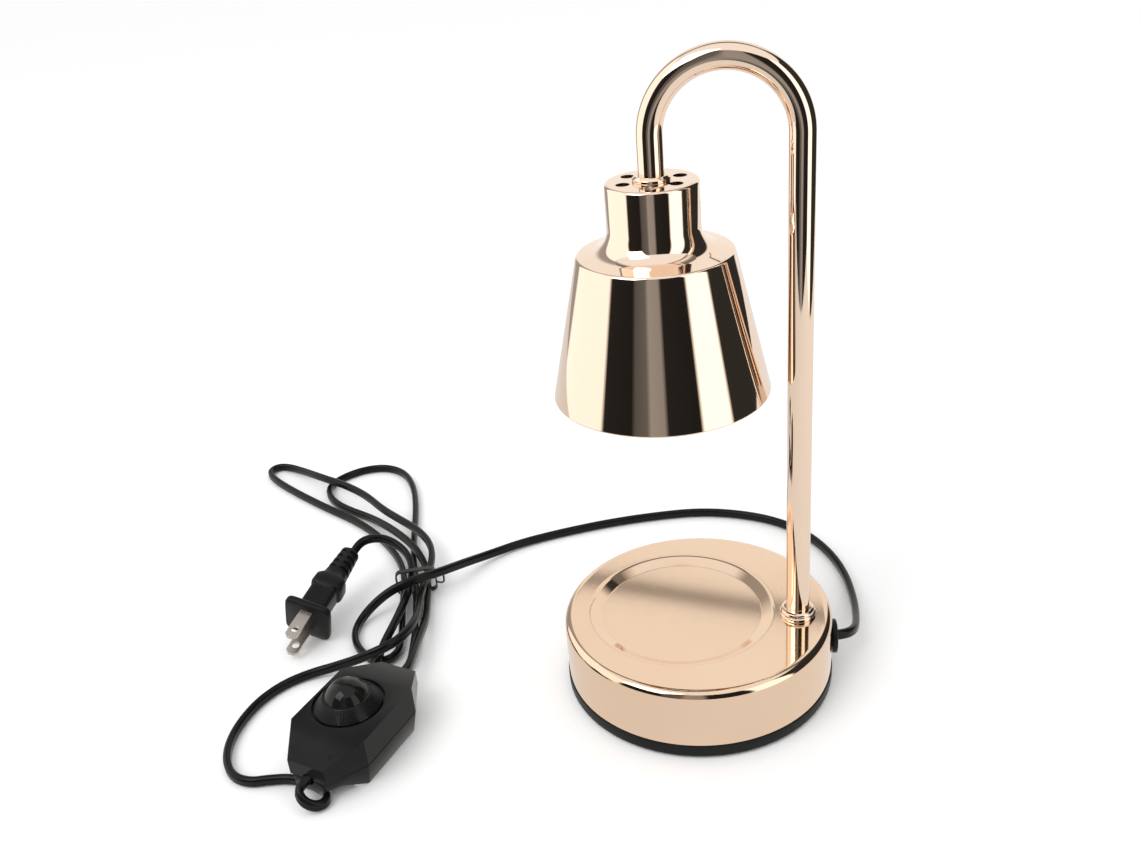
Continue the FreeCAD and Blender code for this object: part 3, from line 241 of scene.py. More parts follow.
def swept(name, rings, closed=False, place=None):
    # rings are lists of points of equal length, skinned in order and capped
    bm = bmesh.new()
    rows = [[bm.verts.new(p) for p in ring] for ring in rings]
    count = len(rows[0])
    pairs = list(zip(rows, rows[1:])) + ([(rows[-1], rows[0])] if closed else [])
    for near, far in pairs:
        for i in range(count):
            j = (i + 1) % count
            bm.faces.new((near[i], near[j], far[j], far[i]))
    if not closed:
        bm.faces.new(rows[0][::-1])
        bm.faces.new(rows[-1])
    return toMesh(name, bm, metres(place) if place else None)


def carved(name, mesh, cutters):
    # the mesh less the cutter meshes
    host = linked(name, mesh)
    tools = [linked("cutter", cutter) for cutter in cutters]
    for tool in tools:
        step = host.modifiers.new("carve", "BOOLEAN")
        step.operation = "DIFFERENCE"
        step.solver = "EXACT"
        step.object = tool
    out = settled(host)
    for tool in tools:
        bpy.data.objects.remove(tool)
    return out


# base: satin cover with the sunk candle seat, black tray below

base = {"radius": 59.6, "bottom": 7.0, "top": 33.7, "shoulder": 3.6, "wall": 1.2, "seatX": -7.0,
        "seatRadius": 40.4, "seatFloor": 35.8, "seatDepth": 2.5, "seatLip": 4.5, "seatFoot": 0.6,
        "seatOut": 0.4, "crease": 0.3, "innerRing": 12, "arcSteps": 12, "seatSteps": 8,
        "edgeSteps": 6, "steps": 256}


def makeCover(s):
    bm = bmesh.new()
    edge = s["radius"] - s["shoulder"]
    middle = s["top"] - s["shoulder"]
    floor = s["top"] - s["seatDepth"]
    arc = [math.pi / 2 * k / s["arcSteps"] for k in range(s["arcSteps"] + 1)]
    side = [(s["radius"] - s["wall"], s["bottom"]), (s["radius"], s["bottom"])]
    side += [(edge + s["shoulder"] * math.cos(a), middle + s["shoulder"] * math.sin(a)) for a in arc]
    side.append((edge - s["crease"], s["top"]))
    slope = roundCorners([(edge, s["top"]), (s["seatRadius"] + s["seatOut"], s["top"], s["seatLip"]),
                          (s["seatFloor"], floor, s["seatFoot"]), (0, floor)], s["seatSteps"])
    seat = [(slope[1][0] + s["crease"], s["top"])] + [tuple(p) for p in slope[1:-1]]
    seat += [(seat[-1][0] - s["crease"], seat[-1][1]), (s["innerRing"], seat[-1][1])]
    rings = [(0, r, z) for r, z in side] + [(s["seatX"], r, z) for r, z in seat]
    rows = [[bm.verts.new((x + r * math.cos(a), r * math.sin(a), z)) for a in turns(s["steps"])]
            for x, r, z in rings]
    for near, far in zip(rows, rows[1:]):
        for k in range(s["steps"]):
            j = (k + 1) % s["steps"]
            bm.faces.new((near[k], near[j], far[j], far[k]))
    bm.faces.new(rows[-1])
    mesh = toMesh("baseCover", bm)
    addPiece("baseCover", mesh, "satinGold", sharp=50, replaced=["base_cover"])


makeCover(base)
trayProfile = roundCorners([(0, 0.6), (52.15, 0.6), (52.15, 0.62), (60, 0.6, 1.6), (60, 6.7, 0.5),
                            (57.8, 6.7), (57.8, 9.8), (55.4, 9.8), (55.4, 4.2), (0, 4.2)],
                           base["edgeSteps"])
addPiece("baseTray", turned("baseTray", trayProfile, base["steps"]), "trayBlack", replaced=["bottom_tray"])
print("base made")


# arm: polished tube with its two collars

arm = {"postX": 44.6, "headX": -10.8, "radius": 5.0, "archRadius": 27.7, "archZ": 244.7, "low": 24.7,
       "headLow": 219.7, "around": 64, "archSteps": 72, "collarSteps": 128, "edgeSteps": 5}


def makeTube(s):
    middleX = s["postX"] - s["archRadius"]
    path = [(s["postX"], s["low"], 0.0)]
    path += [(middleX + s["archRadius"] * math.cos(a), s["archZ"] + s["archRadius"] * math.sin(a), a)
             for a in (math.pi * k / s["archSteps"] for k in range(s["archSteps"] + 1))]
    path += [(s["headX"], s["headLow"], math.pi)]
    rings = []
    for x, z, a in path:
        out = Vector((math.cos(a), 0, math.sin(a)))
        across = Vector((0, 1, 0))
        rings.append([Vector((x, 0, z)) + (out * math.cos(b) + across * math.sin(b)) * s["radius"]
                      for b in turns(s["around"])])
    addPiece("armTube", swept("armTube", rings), "mirrorGold", replaced=["arm_tube"])


makeTube(arm)
atHead = Matrix.Translation((arm["headX"], 0, 0))
atPost = Matrix.Translation((arm["postX"], 0, 0))
collars = {
    "footCollar": ("foot_collar", atPost, [
        (5.05, 33.7), (7.9, 33.7, 0.3), (7.9, 35.2, 0.6), (7.1, 35.5, 0.2), (7.3, 35.9, 0.3),
        (7.0, 36.9, 0.6), (6.0, 37.3, 0.4), (5.05, 37.3)]),
    "capCollar": ("cap_collar", atHead, [
        (5.05, 228.7), (7.4, 228.7, 0.2), (7.4, 229.8, 0.5), (6.3, 230.9, 0.5), (5.05, 230.9)])}
for name, (node, place, outline) in collars.items():
    mesh = turned(name, roundCorners(outline, arm["edgeSteps"]), arm["collarSteps"], place)
    addPiece(name, mesh, "mirrorGold", sharp=50, replaced=[node])
print("arm made")


# head: spun shade with vents in its cap

shade = {"capZ": 228.7, "neck": 18.1, "shoulderZ": 200.9, "shoulder": 30.9, "rise": 2.8, "rimZ": 142.5,
         "rim": 44.1, "wall": 1.0, "capEdge": 1.4, "neckFillet": 9.0, "shoulderEdge": 1.6,
         "ventRadius": 2.7, "ventCircle": 11.6, "vents": 6, "ventTurn": 30, "ventCut": 4, "ventSteps": 32,
         "bore": 5.0, "rimEdge": 0.45, "innerShoulder": 0.8, "innerCap": 0.4, "edgeSteps": 10, "steps": 256}


def makeShade(s):
    w = s["wall"]
    neckFoot = s["shoulderZ"] + s["rise"]
    profile = roundCorners([
        (s["bore"], s["capZ"]), (s["neck"], s["capZ"], s["capEdge"]), (s["neck"], neckFoot, s["neckFillet"]),
        (s["shoulder"], s["shoulderZ"], s["shoulderEdge"]), (s["rim"], s["rimZ"], s["rimEdge"]),
        (s["rim"] - w, s["rimZ"], s["rimEdge"]), (s["shoulder"] - w, s["shoulderZ"] - w, s["innerShoulder"]),
        (s["neck"] - w, neckFoot - w, s["neckFillet"] - w), (s["neck"] - w, s["capZ"] - w, s["innerCap"]),
        (s["bore"], s["capZ"] - w)], s["edgeSteps"])
    cut = s["ventCut"]
    drill = [(0, -cut), (s["ventRadius"], -cut), (s["ventRadius"], cut), (0, cut)]
    cutters = []
    for k in range(s["vents"]):
        a = math.radians(s["ventTurn"] + 360 / s["vents"] * k)
        spot = Matrix.Translation((s["ventCircle"] * math.cos(a), s["ventCircle"] * math.sin(a), s["capZ"]))
        cutters.append(turned("vent", drill, s["ventSteps"], spot))
    mesh = carved("lampShade", turned("lampShade", profile, s["steps"]), cutters)
    mesh.transform(metres(atHead))
    addPiece("lampShade", mesh, "mirrorGold", sharp=40, replaced=["lamp_shade"])


makeShade(shade)
bulb = {"steps": 96, "edgeSteps": 6, "lensEdgeSteps": 5}
bulbProfile = roundCorners([(0, 184.2), (8.35, 184.2), (17, 174.6, 8), (23.2, 161.2, 8), (25, 152.2),
                            (23.8, 152.2), (22, 161.2, 8), (15.8, 173.4, 8), (0, 181.8)],
                           bulb["edgeSteps"])
addPiece("bulbReflector", turned("bulbReflector", bulbProfile, bulb["steps"], atHead), "bulbMirror",
         body="bulb", replaced=["lamp_reflector"])
lensProfile = roundCorners([(0, 149.8), (25, 149.8, 1.1), (25, 152.2), (0, 152.2)], bulb["lensEdgeSteps"])
addPiece("bulbLens", turned("bulbLens", lensProfile, bulb["steps"], atHead), "bulbGlass", body="bulb",
         replaced=["lamp_lens"])
print("head made")


# leads: flat twin cord laid in the loops of the storage bundle, standing on its edge

cord = {"lobe": 1.74, "offset": 0.72, "lobeSteps": 14, "diameter": 4.8, "resolution": 10, "kept": 0.6,
        "righted": 0.4, "levelPower": 4, "order": 3}
lampRoute = [
    (59.27, 6.23, 17.5), (64.5, 8.0, 17.3), (68.5, 13, 15.5), (70.5, 21, 12.5), (71, 37, 7.5), (70, 56, 4),
    (66.5, 77, 2.5), (59.5, 95, 2.5), (48, 112, 2.5), (31.5, 125, 2.5), (10.5, 131.5, 2.5),
    (-13.5, 132.5, 2.5), (-38, 126, 2.5), (-62.5, 117, 2.5), (-86, 105.5, 2.5), (-107, 93, 2.7),
    (-122, 78, 4), (-131.5, 60, 9.5), (-138.5, 44, 14.5), (-148.5, 33.5, 16.3), (-160, 28, 13),
    (-169.5, 21.5, 6.5), (-173.5, 11.5, 2.6), (-171, 0.5, 2.5), (-164, -9, 2.5), (-155, -15, 2.5),
    (-147.5, -14.5, 2.5), (-144.5, -7, 2.5), (-147.2, 4, 2.5), (-151.6, 18, 2.6), (-156.3, 32.5, 3.3),
    (-161, 48.5, 3.8), (-167.5, 63, 3), (-178, 78, 2.5), (-192.5, 93, 2.5), (-212.5, 108, 2.5),
    (-234, 119.5, 2.5), (-256, 132.5, 2.5), (-274, 144, 2.5), (-286, 153, 2.5), (-292.5, 160.5, 2.5),
    (-291, 167.5, 2.5), (-284, 169, 2.5), (-271, 163, 3.5), (-249, 147.5, 7.6), (-230, 138.5, 8.2),
    (-212.5, 127.5, 8.2), (-197, 113, 8.2), (-181, 100.5, 9.2), (-166.5, 90, 9.6), (-155, 77, 9.6),
    (-148.8, 61.5, 9.4), (-147.5, 44, 9.3), (-144.5, 27, 9.2), (-140, 12.5, 11.5), (-138, -1.5, 14.5),
    (-140, -14, 15.7), (-146.5, -21.5, 15), (-157.5, -24, 10.5), (-170, -24, 5), (-182, -27.5, 2.6),
    (-191.5, -36, 2.5), (-198, -48, 2.5), (-200.5, -61.5, 2.5), (-200, -75, 2.5), (-196, -87, 2.5),
    (-188.5, -96, 2.5), (-179.5, -98.5, 2.5), (-171, -95.8, 2.5), (-162.5, -94, 2.5), (-154.5, -95.2, 2.5),
    (-148, -97.3, 2.5), (-143, -100.3, 2.5), (-141.4, -104.7, 2.6), (-144.2, -108.8, 3.4),
    (-149.4, -109.4, 6.4), (-152.8, -105.6, 9.9), (-148.8, -100.1, 11.1)]
plugRoute = [
    (-132.4, -38.1, 11.1), (-131.3, -31, 11.1), (-132, -22, 10.6), (-134, -10, 9.4), (-136, 3, 7.4),
    (-138.2, 16, 5), (-142.5, 30.5, 3.4), (-146.5, 45, 3.8), (-152, 60, 3.8), (-161, 72, 8.2),
    (-174, 84.5, 8.4), (-189, 98, 6.4), (-204.5, 111, 3.2), (-219.5, 118.5, 2.5), (-233, 126.5, 2.5),
    (-242, 137, 2.5), (-244.5, 148, 2.5), (-239.5, 159, 2.5), (-229.5, 168.5, 2.5), (-216, 172, 2.5),
    (-202, 165.5, 2.5), (-190.5, 149, 2.5), (-182, 128, 2.5), (-175.5, 107.5, 2.5), (-169.5, 87.5, 2.5),
    (-162.5, 68, 2.9), (-154.5, 48, 3.8), (-148, 29, 3.2), (-142, 10.5, 2.5), (-138, -6, 2.5),
    (-136, -16, 2.5), (-138, -24, 2.5), (-144, -28, 2.5), (-149.8, -25, 4), (-150.5, -17.5, 7.8),
    (-151, -6, 8.4), (-151.2, 7, 8.4), (-152, 24, 8.8), (-154.2, 41, 9.3), (-156.6, 51, 11.6),
    (-161, 58, 15.2), (-168, 61.5, 19), (-175.5, 62, 22), (-182.3, 58.8, 23.3), (-186.5, 53.5, 22.6),
    (-187.6, 46.4, 20.3)]


def cordLine(name, route, s):
    data = bpy.data.curves.new(name, "CURVE")
    data.dimensions = "3D"
    data.resolution_u = s["resolution"]
    spline = data.splines.new("NURBS")
    spline.points.add(len(route) - 1)
    for point, spot in zip(spline.points, route):
        point.co = (spot[0] * mm, spot[1] * mm, spot[2] * mm, 1)
    spline.order_u = s["order"]
    spline.use_endpoint_u = True
    return [v.co / mm for v in settled(linked(name, data)).vertices]


def twinSection(s):
    pinch = math.asin(s["offset"] / s["lobe"])
    out = []
    for side in (1, -1):
        for k in range(s["lobeSteps"] + 1):
            a = -pinch + (math.pi + 2 * pinch) * k / s["lobeSteps"]
            out.append((side * s["lobe"] * math.cos(a), side * (s["offset"] + s["lobe"] * math.sin(a))))
    return out[:-1]


def makeLead(name, route, node, s):
    points = cordLine(name, route, s)
    section = twinSection(s)
    rings = []
    up = None
    # the section keeps its turn along the lead and rights itself where the lead runs level
    for i, here in enumerate(points):
        along = (points[min(i + 1, len(points) - 1)] - points[max(i - 1, 0)]).normalized()
        righted = s["righted"] * math.hypot(along.x, along.y) ** s["levelPower"]
        wish = Vector((0, 0, 1)) - along * along.z
        kept = wish if up is None else up - along * up.dot(along)
        up = (kept.normalized() * s["kept"] + wish.normalized() * righted).normalized()
        side = along.cross(up).normalized()
        rings.append([here + side * a + up * b for a, b in section])
    length = sum((a - b).length for a, b in zip(points, points[1:])) * mm
    piece = addPiece(name, swept(name, rings), "vinylBlack", sharp=50, replaced=[node])
    print(name, "length", round(length, 3))
    return piece, length, [p * mm for p in points]


lampLead, lampLength, lampPath = makeLead("lampLead", lampRoute, "lamp_lead", cord)
plugLead, plugLength, plugPath = makeLead("plugLead", plugRoute, "plug_lead", cord)


# bushing where the lead leaves the base

bush = {"turn": 6, "out": 59.6, "height": 17.5, "edgeSteps": 5, "steps": 64}
bushPlace = (Matrix.Rotation(math.radians(bush["turn"]), 4, "Z")
             @ Matrix.Translation((bush["out"], 0, bush["height"]))
             @ Matrix.Rotation(math.radians(90), 4, "Y"))
bushProfile = roundCorners([(2.6, -6.2), (5, -6.2), (5, 0.35), (7.6, 0.35, 0.3), (7.6, 2.3, 0.7),
                            (6.2, 2.6, 0.6), (2.6, 2.6, 0.4)], bush["edgeSteps"])
addPiece("cordBushing", turned("cordBushing", bushProfile, bush["steps"], bushPlace), "plugBlack", sharp=45,
         replaced=["cord_bushing"])


# dimmer: two bevelled case halves, a ribbed knob with a glossy dome

dimmer = {"x": -140.6, "y": -69.1, "turn": 75.2, "halfLength": 33.7, "flat": 17.6, "halfWidth": 18.9,
          "tip": 9.3, "lowTip": 8.4, "height": 24.0, "split": 11.1, "endTop": 18.4, "endLow": 5.6,
          "lowFlat": 27.5, "draft": 2.2, "seam": 0.22, "bevel": 0.5, "wellRadius": 15.9, "wellFloor": 22.2,
          "knobY": 2.0, "portRadius": 2.75, "flatFrom": 12.0, "blank": 40, "boreHalf": 50, "wellSteps": 96,
          "portSteps": 48, "mergeAngle": 0.01, "bevelSteps": 3, "bevelShape": 0.5}
dimmerPlace = (Matrix.Translation((dimmer["x"], dimmer["y"], 0))
               @ Matrix.Rotation(math.radians(dimmer["turn"]), 4, "Z"))


def caseHalf(name, side, tip, draft, s):
    # a side outline drawn across, then cut to the plan with planes that draw in by the draft at the table
    bm = bmesh.new()
    near = [bm.verts.new((x, -s["blank"], z)) for x, z in side]
    far = [bm.verts.new((x, s["blank"], z)) for x, z in side]
    count = len(side)
    bm.faces.new(near)
    bm.faces.new(far[::-1])
    for i in range(count):
        j = (i + 1) % count
        bm.faces.new((near[i], far[i], far[j], near[j]))
    bmesh.ops.recalc_face_normals(bm, faces=bm.faces)
    for sx in (1, -1):
        for sy in (1, -1):
            spot = (sx * s["flat"], sy * s["halfWidth"], s["split"])
            corner = Vector((sx * (s["halfWidth"] - tip), sy * (s["halfLength"] - s["flat"]))).normalized()
            for x, y in ((0, sy), corner):
                normal = Vector((x, y, -draft / s["split"])).normalized()
                cut = bmesh.ops.bisect_plane(bm, geom=bm.verts[:] + bm.edges[:] + bm.faces[:], plane_co=spot,
                                             plane_no=normal, clear_outer=True)
                edges = [e for e in cut["geom_cut"] if isinstance(e, bmesh.types.BMEdge)]
                if edges:
                    bmesh.ops.edgeloop_fill(bm, edges=edges)
    bmesh.ops.dissolve_limit(bm, angle_limit=s["mergeAngle"], verts=bm.verts, edges=bm.edges)
    bmesh.ops.recalc_face_normals(bm, faces=bm.faces)
    bmesh.ops.bevel(bm, geom=bm.edges[:], offset=s["bevel"], segments=s["bevelSteps"],
                    profile=s["bevelShape"], affect="EDGES", clamp_overlap=True)
    return toMesh(name, bm)


def makeCase(s):
    long, flat, low = s["halfLength"], s["flat"], s["endLow"]
    above, below = s["split"] + s["seam"], s["split"] - s["seam"]
    upperSide = [(-long, above), (long, above), (long, s["endTop"]), (flat, s["height"]),
                 (-flat, s["height"]), (-long, s["endTop"])]
    lowerSide = [(-long, low), (-s["lowFlat"], low), (-flat, 0), (flat, 0), (s["lowFlat"], low),
                 (long, low), (long, below), (-long, below)]
    radius, top = s["wellRadius"], s["blank"]
    well = turned("well", [(0, s["wellFloor"]), (radius, s["wellFloor"]), (radius, top), (0, top)],
                  s["wellSteps"], Matrix.Translation((0, s["knobY"], 0)))
    place = Matrix.Translation((0, 0, s["split"])) @ Matrix.Rotation(math.radians(90), 4, "Y")
    radius, end = s["portRadius"], s["boreHalf"]
    port = turned("port", [(0, -end), (radius, -end), (radius, end), (0, end)], s["portSteps"], place)
    upper = carved("upperCase", caseHalf("upperCase", upperSide, s["tip"], 0, s), [well, port])
    lower = carved("lowerCase", caseHalf("lowerCase", lowerSide, s["lowTip"], s["draft"], s), [port])
    pieces = []
    for name, mesh, node in (("dimmerUpperCase", upper, "dimmer_upper_case"),
                             ("dimmerLowerCase", lower, "dimmer_lower_case")):
        mesh.transform(metres(dimmerPlace))
        pieces.append(addPiece(name, mesh, "caseBlack", sharp=30, replaced=[node],
                               flatFrom=s["flatFrom"]))
    return pieces


knob = {"low": 22.5, "radius": 14.6, "band": 1.2, "shoulderZ": 28.4, "domeRadius": 9.7, "domeRise": 6.6,
        "ribs": 116, "ribWidth": 0.36, "ribHigh": 0.7, "ribLong": 6.0, "ledge": 0.5, "inset": 0.2,
        "lift": 0.1, "ribSink": 0.02, "edge": 0.4, "bandEdge": 0.5, "edgeSteps": 5, "domeSteps": 20,
        "steps": 128}


def ribRing(name, s, place):
    # upright ribs set round a sloped band with geometry nodes
    tree = bpy.data.node_groups.new(name, "GeometryNodeTree")
    sockets = {"Count": "NodeSocketInt", "Radius": "NodeSocketFloat", "Rib": "NodeSocketVector",
               "Tilt": "NodeSocketFloat"}
    for socket, kind in sockets.items():
        tree.interface.new_socket(socket, in_out="INPUT", socket_type=kind)
    tree.interface.new_socket("Geometry", in_out="OUTPUT", socket_type="NodeSocketGeometry")
    inputs = tree.nodes.new("NodeGroupInput")
    ring = tree.nodes.new("GeometryNodeMeshCircle")
    rib = tree.nodes.new("GeometryNodeMeshCube")
    lean = tree.nodes.new("ShaderNodeCombineXYZ")
    tilt = tree.nodes.new("GeometryNodeTransform")
    where = tree.nodes.new("GeometryNodeInputPosition")
    face = tree.nodes.new("FunctionNodeAlignEulerToVector")
    face.axis = "X"
    face.pivot_axis = "Z"
    put = tree.nodes.new("GeometryNodeInstanceOnPoints")
    solid = tree.nodes.new("GeometryNodeRealizeInstances")
    paint = tree.nodes.new("GeometryNodeSetMaterial")
    paint.inputs["Material"].default_value = mats["ribBlack"]
    outputs = tree.nodes.new("NodeGroupOutput")
    link = tree.links.new
    link(inputs.outputs["Count"], ring.inputs["Vertices"])
    link(inputs.outputs["Radius"], ring.inputs["Radius"])
    link(inputs.outputs["Rib"], rib.inputs["Size"])
    link(inputs.outputs["Tilt"], lean.inputs["Y"])
    link(lean.outputs["Vector"], tilt.inputs["Rotation"])
    link(rib.outputs["Mesh"], tilt.inputs["Geometry"])
    link(where.outputs["Position"], face.inputs["Vector"])
    link(ring.outputs["Mesh"], put.inputs["Points"])
    link(tilt.outputs["Geometry"], put.inputs["Instance"])
    link(face.outputs["Rotation"], put.inputs["Rotation"])
    link(put.outputs["Instances"], solid.inputs["Geometry"])
    link(solid.outputs["Geometry"], paint.inputs["Geometry"])
    link(paint.outputs["Geometry"], outputs.inputs["Geometry"])
    host = linked(name, bpy.data.meshes.new(name + "Host"))
    step = host.modifiers.new("ribs", "NODES")
    step.node_group = tree
    ids = {item.name: item.identifier for item in tree.interface.items_tree if item.in_out == "INPUT"}
    for socket, value in s.items():
        step[ids[socket]] = value
    mesh = settled(host)
    mesh.transform(metres(place))
    return mesh


def makeKnob(s):
    spot = dimmerPlace @ Matrix.Translation((0, dimmer["knobY"], 0))
    bandTop = s["low"] + s["band"]
    ledge = s["domeRadius"] + s["ledge"]
    domeFoot = s["domeRadius"] - s["inset"]
    outline = roundCorners([(0, s["low"]), (s["radius"], s["low"], s["edge"]),
                            (s["radius"], bandTop, s["bandEdge"]), (ledge, s["shoulderZ"], s["edge"]),
                            (domeFoot, s["shoulderZ"] + s["lift"]), (0, s["shoulderZ"])],
                           s["edgeSteps"])[:-1]
    ball = (s["domeRadius"] ** 2 + s["domeRise"] ** 2) / (2 * s["domeRise"])
    half = math.asin(s["domeRadius"] / ball)
    middle = s["shoulderZ"] + s["domeRise"] - ball + s["lift"]
    dome = [(ball * math.sin(a) * domeFoot / s["domeRadius"], middle + ball * math.cos(a))
            for a in (half * (1 - k / s["domeSteps"]) for k in range(1, s["domeSteps"] + 1))]
    mesh = turned("dimmerKnob", [tuple(p) for p in outline] + dome, s["steps"], spot)
    piece = addPiece("dimmerKnob", mesh, "knobBlack", body="knob", sharp=35, replaced=["dimmer_knob"])
    midR = (s["radius"] + ledge) / 2 - s["ribSink"]
    midZ = (bandTop + s["shoulderZ"]) / 2
    tilt = -math.atan2(s["radius"] - ledge, s["shoulderZ"] - bandTop)
    ribs = ribRing("knobRibs", {"Count": s["ribs"], "Radius": midR * mm, "Tilt": tilt,
                                "Rib": (s["ribHigh"] * mm, s["ribWidth"] * mm, s["ribLong"] * mm)},
                   spot @ Matrix.Translation((0, 0, midZ)))
    return [piece, addPiece("knobRibs", ribs, None, body="knob", sharp=30)]


marks = {"ring": (-27.9, 9.4), "ringRadius": 1.3, "chevron": (-27.4, -8.4), "chevronLong": 2.0,
         "chevronHalf": 1.0, "line": 0.16, "lineSteps": 8, "crest": 0.6, "ringSteps": 40}


def makeMarks(s):
    # a raised ring and chevron on the front slope of the case
    fall = (dimmer["height"] - dimmer["endTop"]) / (dimmer["halfLength"] - dimmer["flat"])

    def onSlope(spot):
        z = dimmer["height"] + (spot[0] + dimmer["flat"]) * fall
        return dimmerPlace @ Matrix.Translation((*spot, z)) @ Matrix.Rotation(-math.atan(fall), 4, "Y")

    line = s["line"]
    ring = [(s["ringRadius"] + line * math.cos(a), line * math.sin(a))
            for a in turns(s["lineSteps"])]
    meshes = [turned("ringMark", ring, s["ringSteps"], onSlope(s["ring"]))]
    lift = Vector((0, 0, line))
    tip = Vector((-s["chevronLong"] / 2, 0, 0))
    for side in (1, -1):
        end = Vector((s["chevronLong"] / 2, side * s["chevronHalf"], 0))
        across = Vector((0, 0, 1)).cross(end - tip).normalized() * line
        crest = across * s["crest"]
        bar = [[p - across - lift, p + across - lift, p + crest + lift, p - crest + lift] for p in (tip, end)]
        meshes.append(swept("chevronMark", bar, place=onSlope(s["chevron"])))
    return [addPiece("dimmerMarks", joined("dimmerMarks", meshes), "caseBlack")]


dimmerPieces = makeCase(dimmer) + makeKnob(knob) + makeMarks(marks)
print("dimmer made")


# plug: flange, body, grip and grooved relief lofted along one axis, with two punched blades

plug = {"spot": (-193.5, -1.5, 13.5), "heading": 263, "dip": 10, "roll": -16, "around": 64, "spine": 0.28,
        "grooves": 4, "grooveFrom": 33.0, "grooveStep": 4.0, "grooveHalf": 5.8, "grooveTaper": 0.28}
plugPlace = (Matrix.Translation(plug["spot"])
             @ Matrix.Rotation(math.radians(plug["heading"]), 4, "Z")
             @ Matrix.Rotation(math.radians(plug["dip"]), 4, "Y")
             @ Matrix.Rotation(math.radians(plug["roll"]), 4, "X"))
# stations: distance behind the face, half width, half height and squareness,
# and in a groove the half height of the spine
stations = [(0, 11.2, 10.7, 7), (0.3, 11.7, 11.2, 7), (0.9, 12, 11.5, 7), (2.7, 12, 11.5, 7),
            (3.4, 11.7, 11.2, 7), (3.8, 11, 10.5, 6), (4.2, 8.2, 7.8, 5), (5.2, 7.2, 6.7, 5),
            (8, 7.0, 6.5, 5), (17.6, 7.0, 6.5, 5), (18.4, 7.0, 6.4, 5), (18.9, 6.4, 6.0, 5),
            (19.4, 6.6, 6.2, 4), (20.2, 8.0, 6.8, 4), (21.6, 8.5, 7.0, 4), (26.4, 8.2, 6.9, 4),
            (28.0, 7.2, 6.3, 3.4), (29.0, 6.1, 6.0, 3), (31.5, 5.9, 5.8, 2.6)]
# groove: distance along it, depth, squareness and whether the spine bridges it there
groove = [(0, 0, 2.4, False), (0.3, 0.9, 2.2, True), (1.5, 0.95, 2.2, True), (1.8, 0.1, 2.4, False)]
for k in range(plug["grooves"]):
    wide = plug["grooveHalf"] - plug["grooveTaper"] * k
    for along, depth, square, bridged in groove:
        station = (plug["grooveFrom"] + plug["grooveStep"] * k + along, wide - depth, wide - depth, square)
        stations.append((*station, wide) if bridged else station)
stations += [(48.2, 4.8, 4.8, 2.2), (49, 4.0, 4.0, 2)]


def makePlug(s):
    rings = []
    for back, wide, high, square, *spine in stations:
        ring = []
        for a in turns(s["around"]):
            c, d = math.cos(a), math.sin(a)
            full = spine[0] / wide if spine and abs(c) < s["spine"] else 1
            ring.append(Vector((-back, math.copysign(abs(c) ** (2 / square), c) * wide * full,
                                math.copysign(abs(d) ** (2 / square), d) * high * full)))
        rings.append(ring)
    mesh = swept("plugBody", rings, place=plugPlace)
    return addPiece("plugBody", mesh, "plugBlack", sharp=40, replaced=["plug_body"])


blade = {"width": 6.35, "thick": 1.5, "length": 17.0, "spacing": 12.7, "eye": 1.8, "eyeAt": 11.7,
         "corner": 1.7, "root": 5.0, "bevel": 0.15, "bevelSteps": 1, "eyeSteps": 28}


def makeBlades(s):
    data = bpy.data.curves.new("blade", "CURVE")
    data.dimensions = "2D"
    data.fill_mode = "BOTH"
    data.extrude = (s["thick"] / 2 - s["bevel"]) * mm
    data.bevel_depth = s["bevel"] * mm
    data.bevel_resolution = s["bevelSteps"]
    data.offset = -s["bevel"] * mm
    half = s["width"] / 2
    outline = [(-s["root"], -half), (s["length"] - s["corner"], -half), (s["length"], -half + s["corner"]),
               (s["length"], half - s["corner"]), (s["length"] - s["corner"], half), (-s["root"], half)]
    eye = [(s["eyeAt"] + s["eye"] * math.cos(a), s["eye"] * math.sin(a)) for a in turns(s["eyeSteps"])]
    for loop in (outline, eye[::-1]):
        spline = data.splines.new("POLY")
        spline.points.add(len(loop) - 1)
        for point, spot in zip(spline.points, loop):
            point.co = (spot[0] * mm, spot[1] * mm, 0, 1)
        spline.use_cyclic_u = True
    flat = settled(linked("blade", data))
    blades = []
    for side in (-1, 1):
        copy = flat.copy()
        copy.transform(metres(plugPlace @ Matrix.Translation((0, 0, side * s["spacing"] / 2))))
        blades.append(copy)
    mesh = joined("plugBlades", blades)
    return addPiece("plugBlades", mesh, "bladeNickel", sharp=30, replaced=["plug_blades"])


plugPieces = [makePlug(plug), makeBlades(blade)]
print("plug made")


# twist tie: a flat strip round the gathered cord, with the hooked end of its wire

tie = {"x": -153.0, "y": 45.6, "turn": 20, "halfWide": 10.6, "low": 0.2, "high": 14.25, "thick": 0.8,
       "width": 2.8, "corner": 3.0, "cornerSteps": 8, "wire": 0.5, "wireSteps": 12,
       "tail": [(9.9, 0, 5.2), (11.4, -0.4, 4.4), (13.2, -0.8, 4.2), (14.2, -1, 5), (14.4, -1, 7),
                (14.2, -1, 13.5)]}


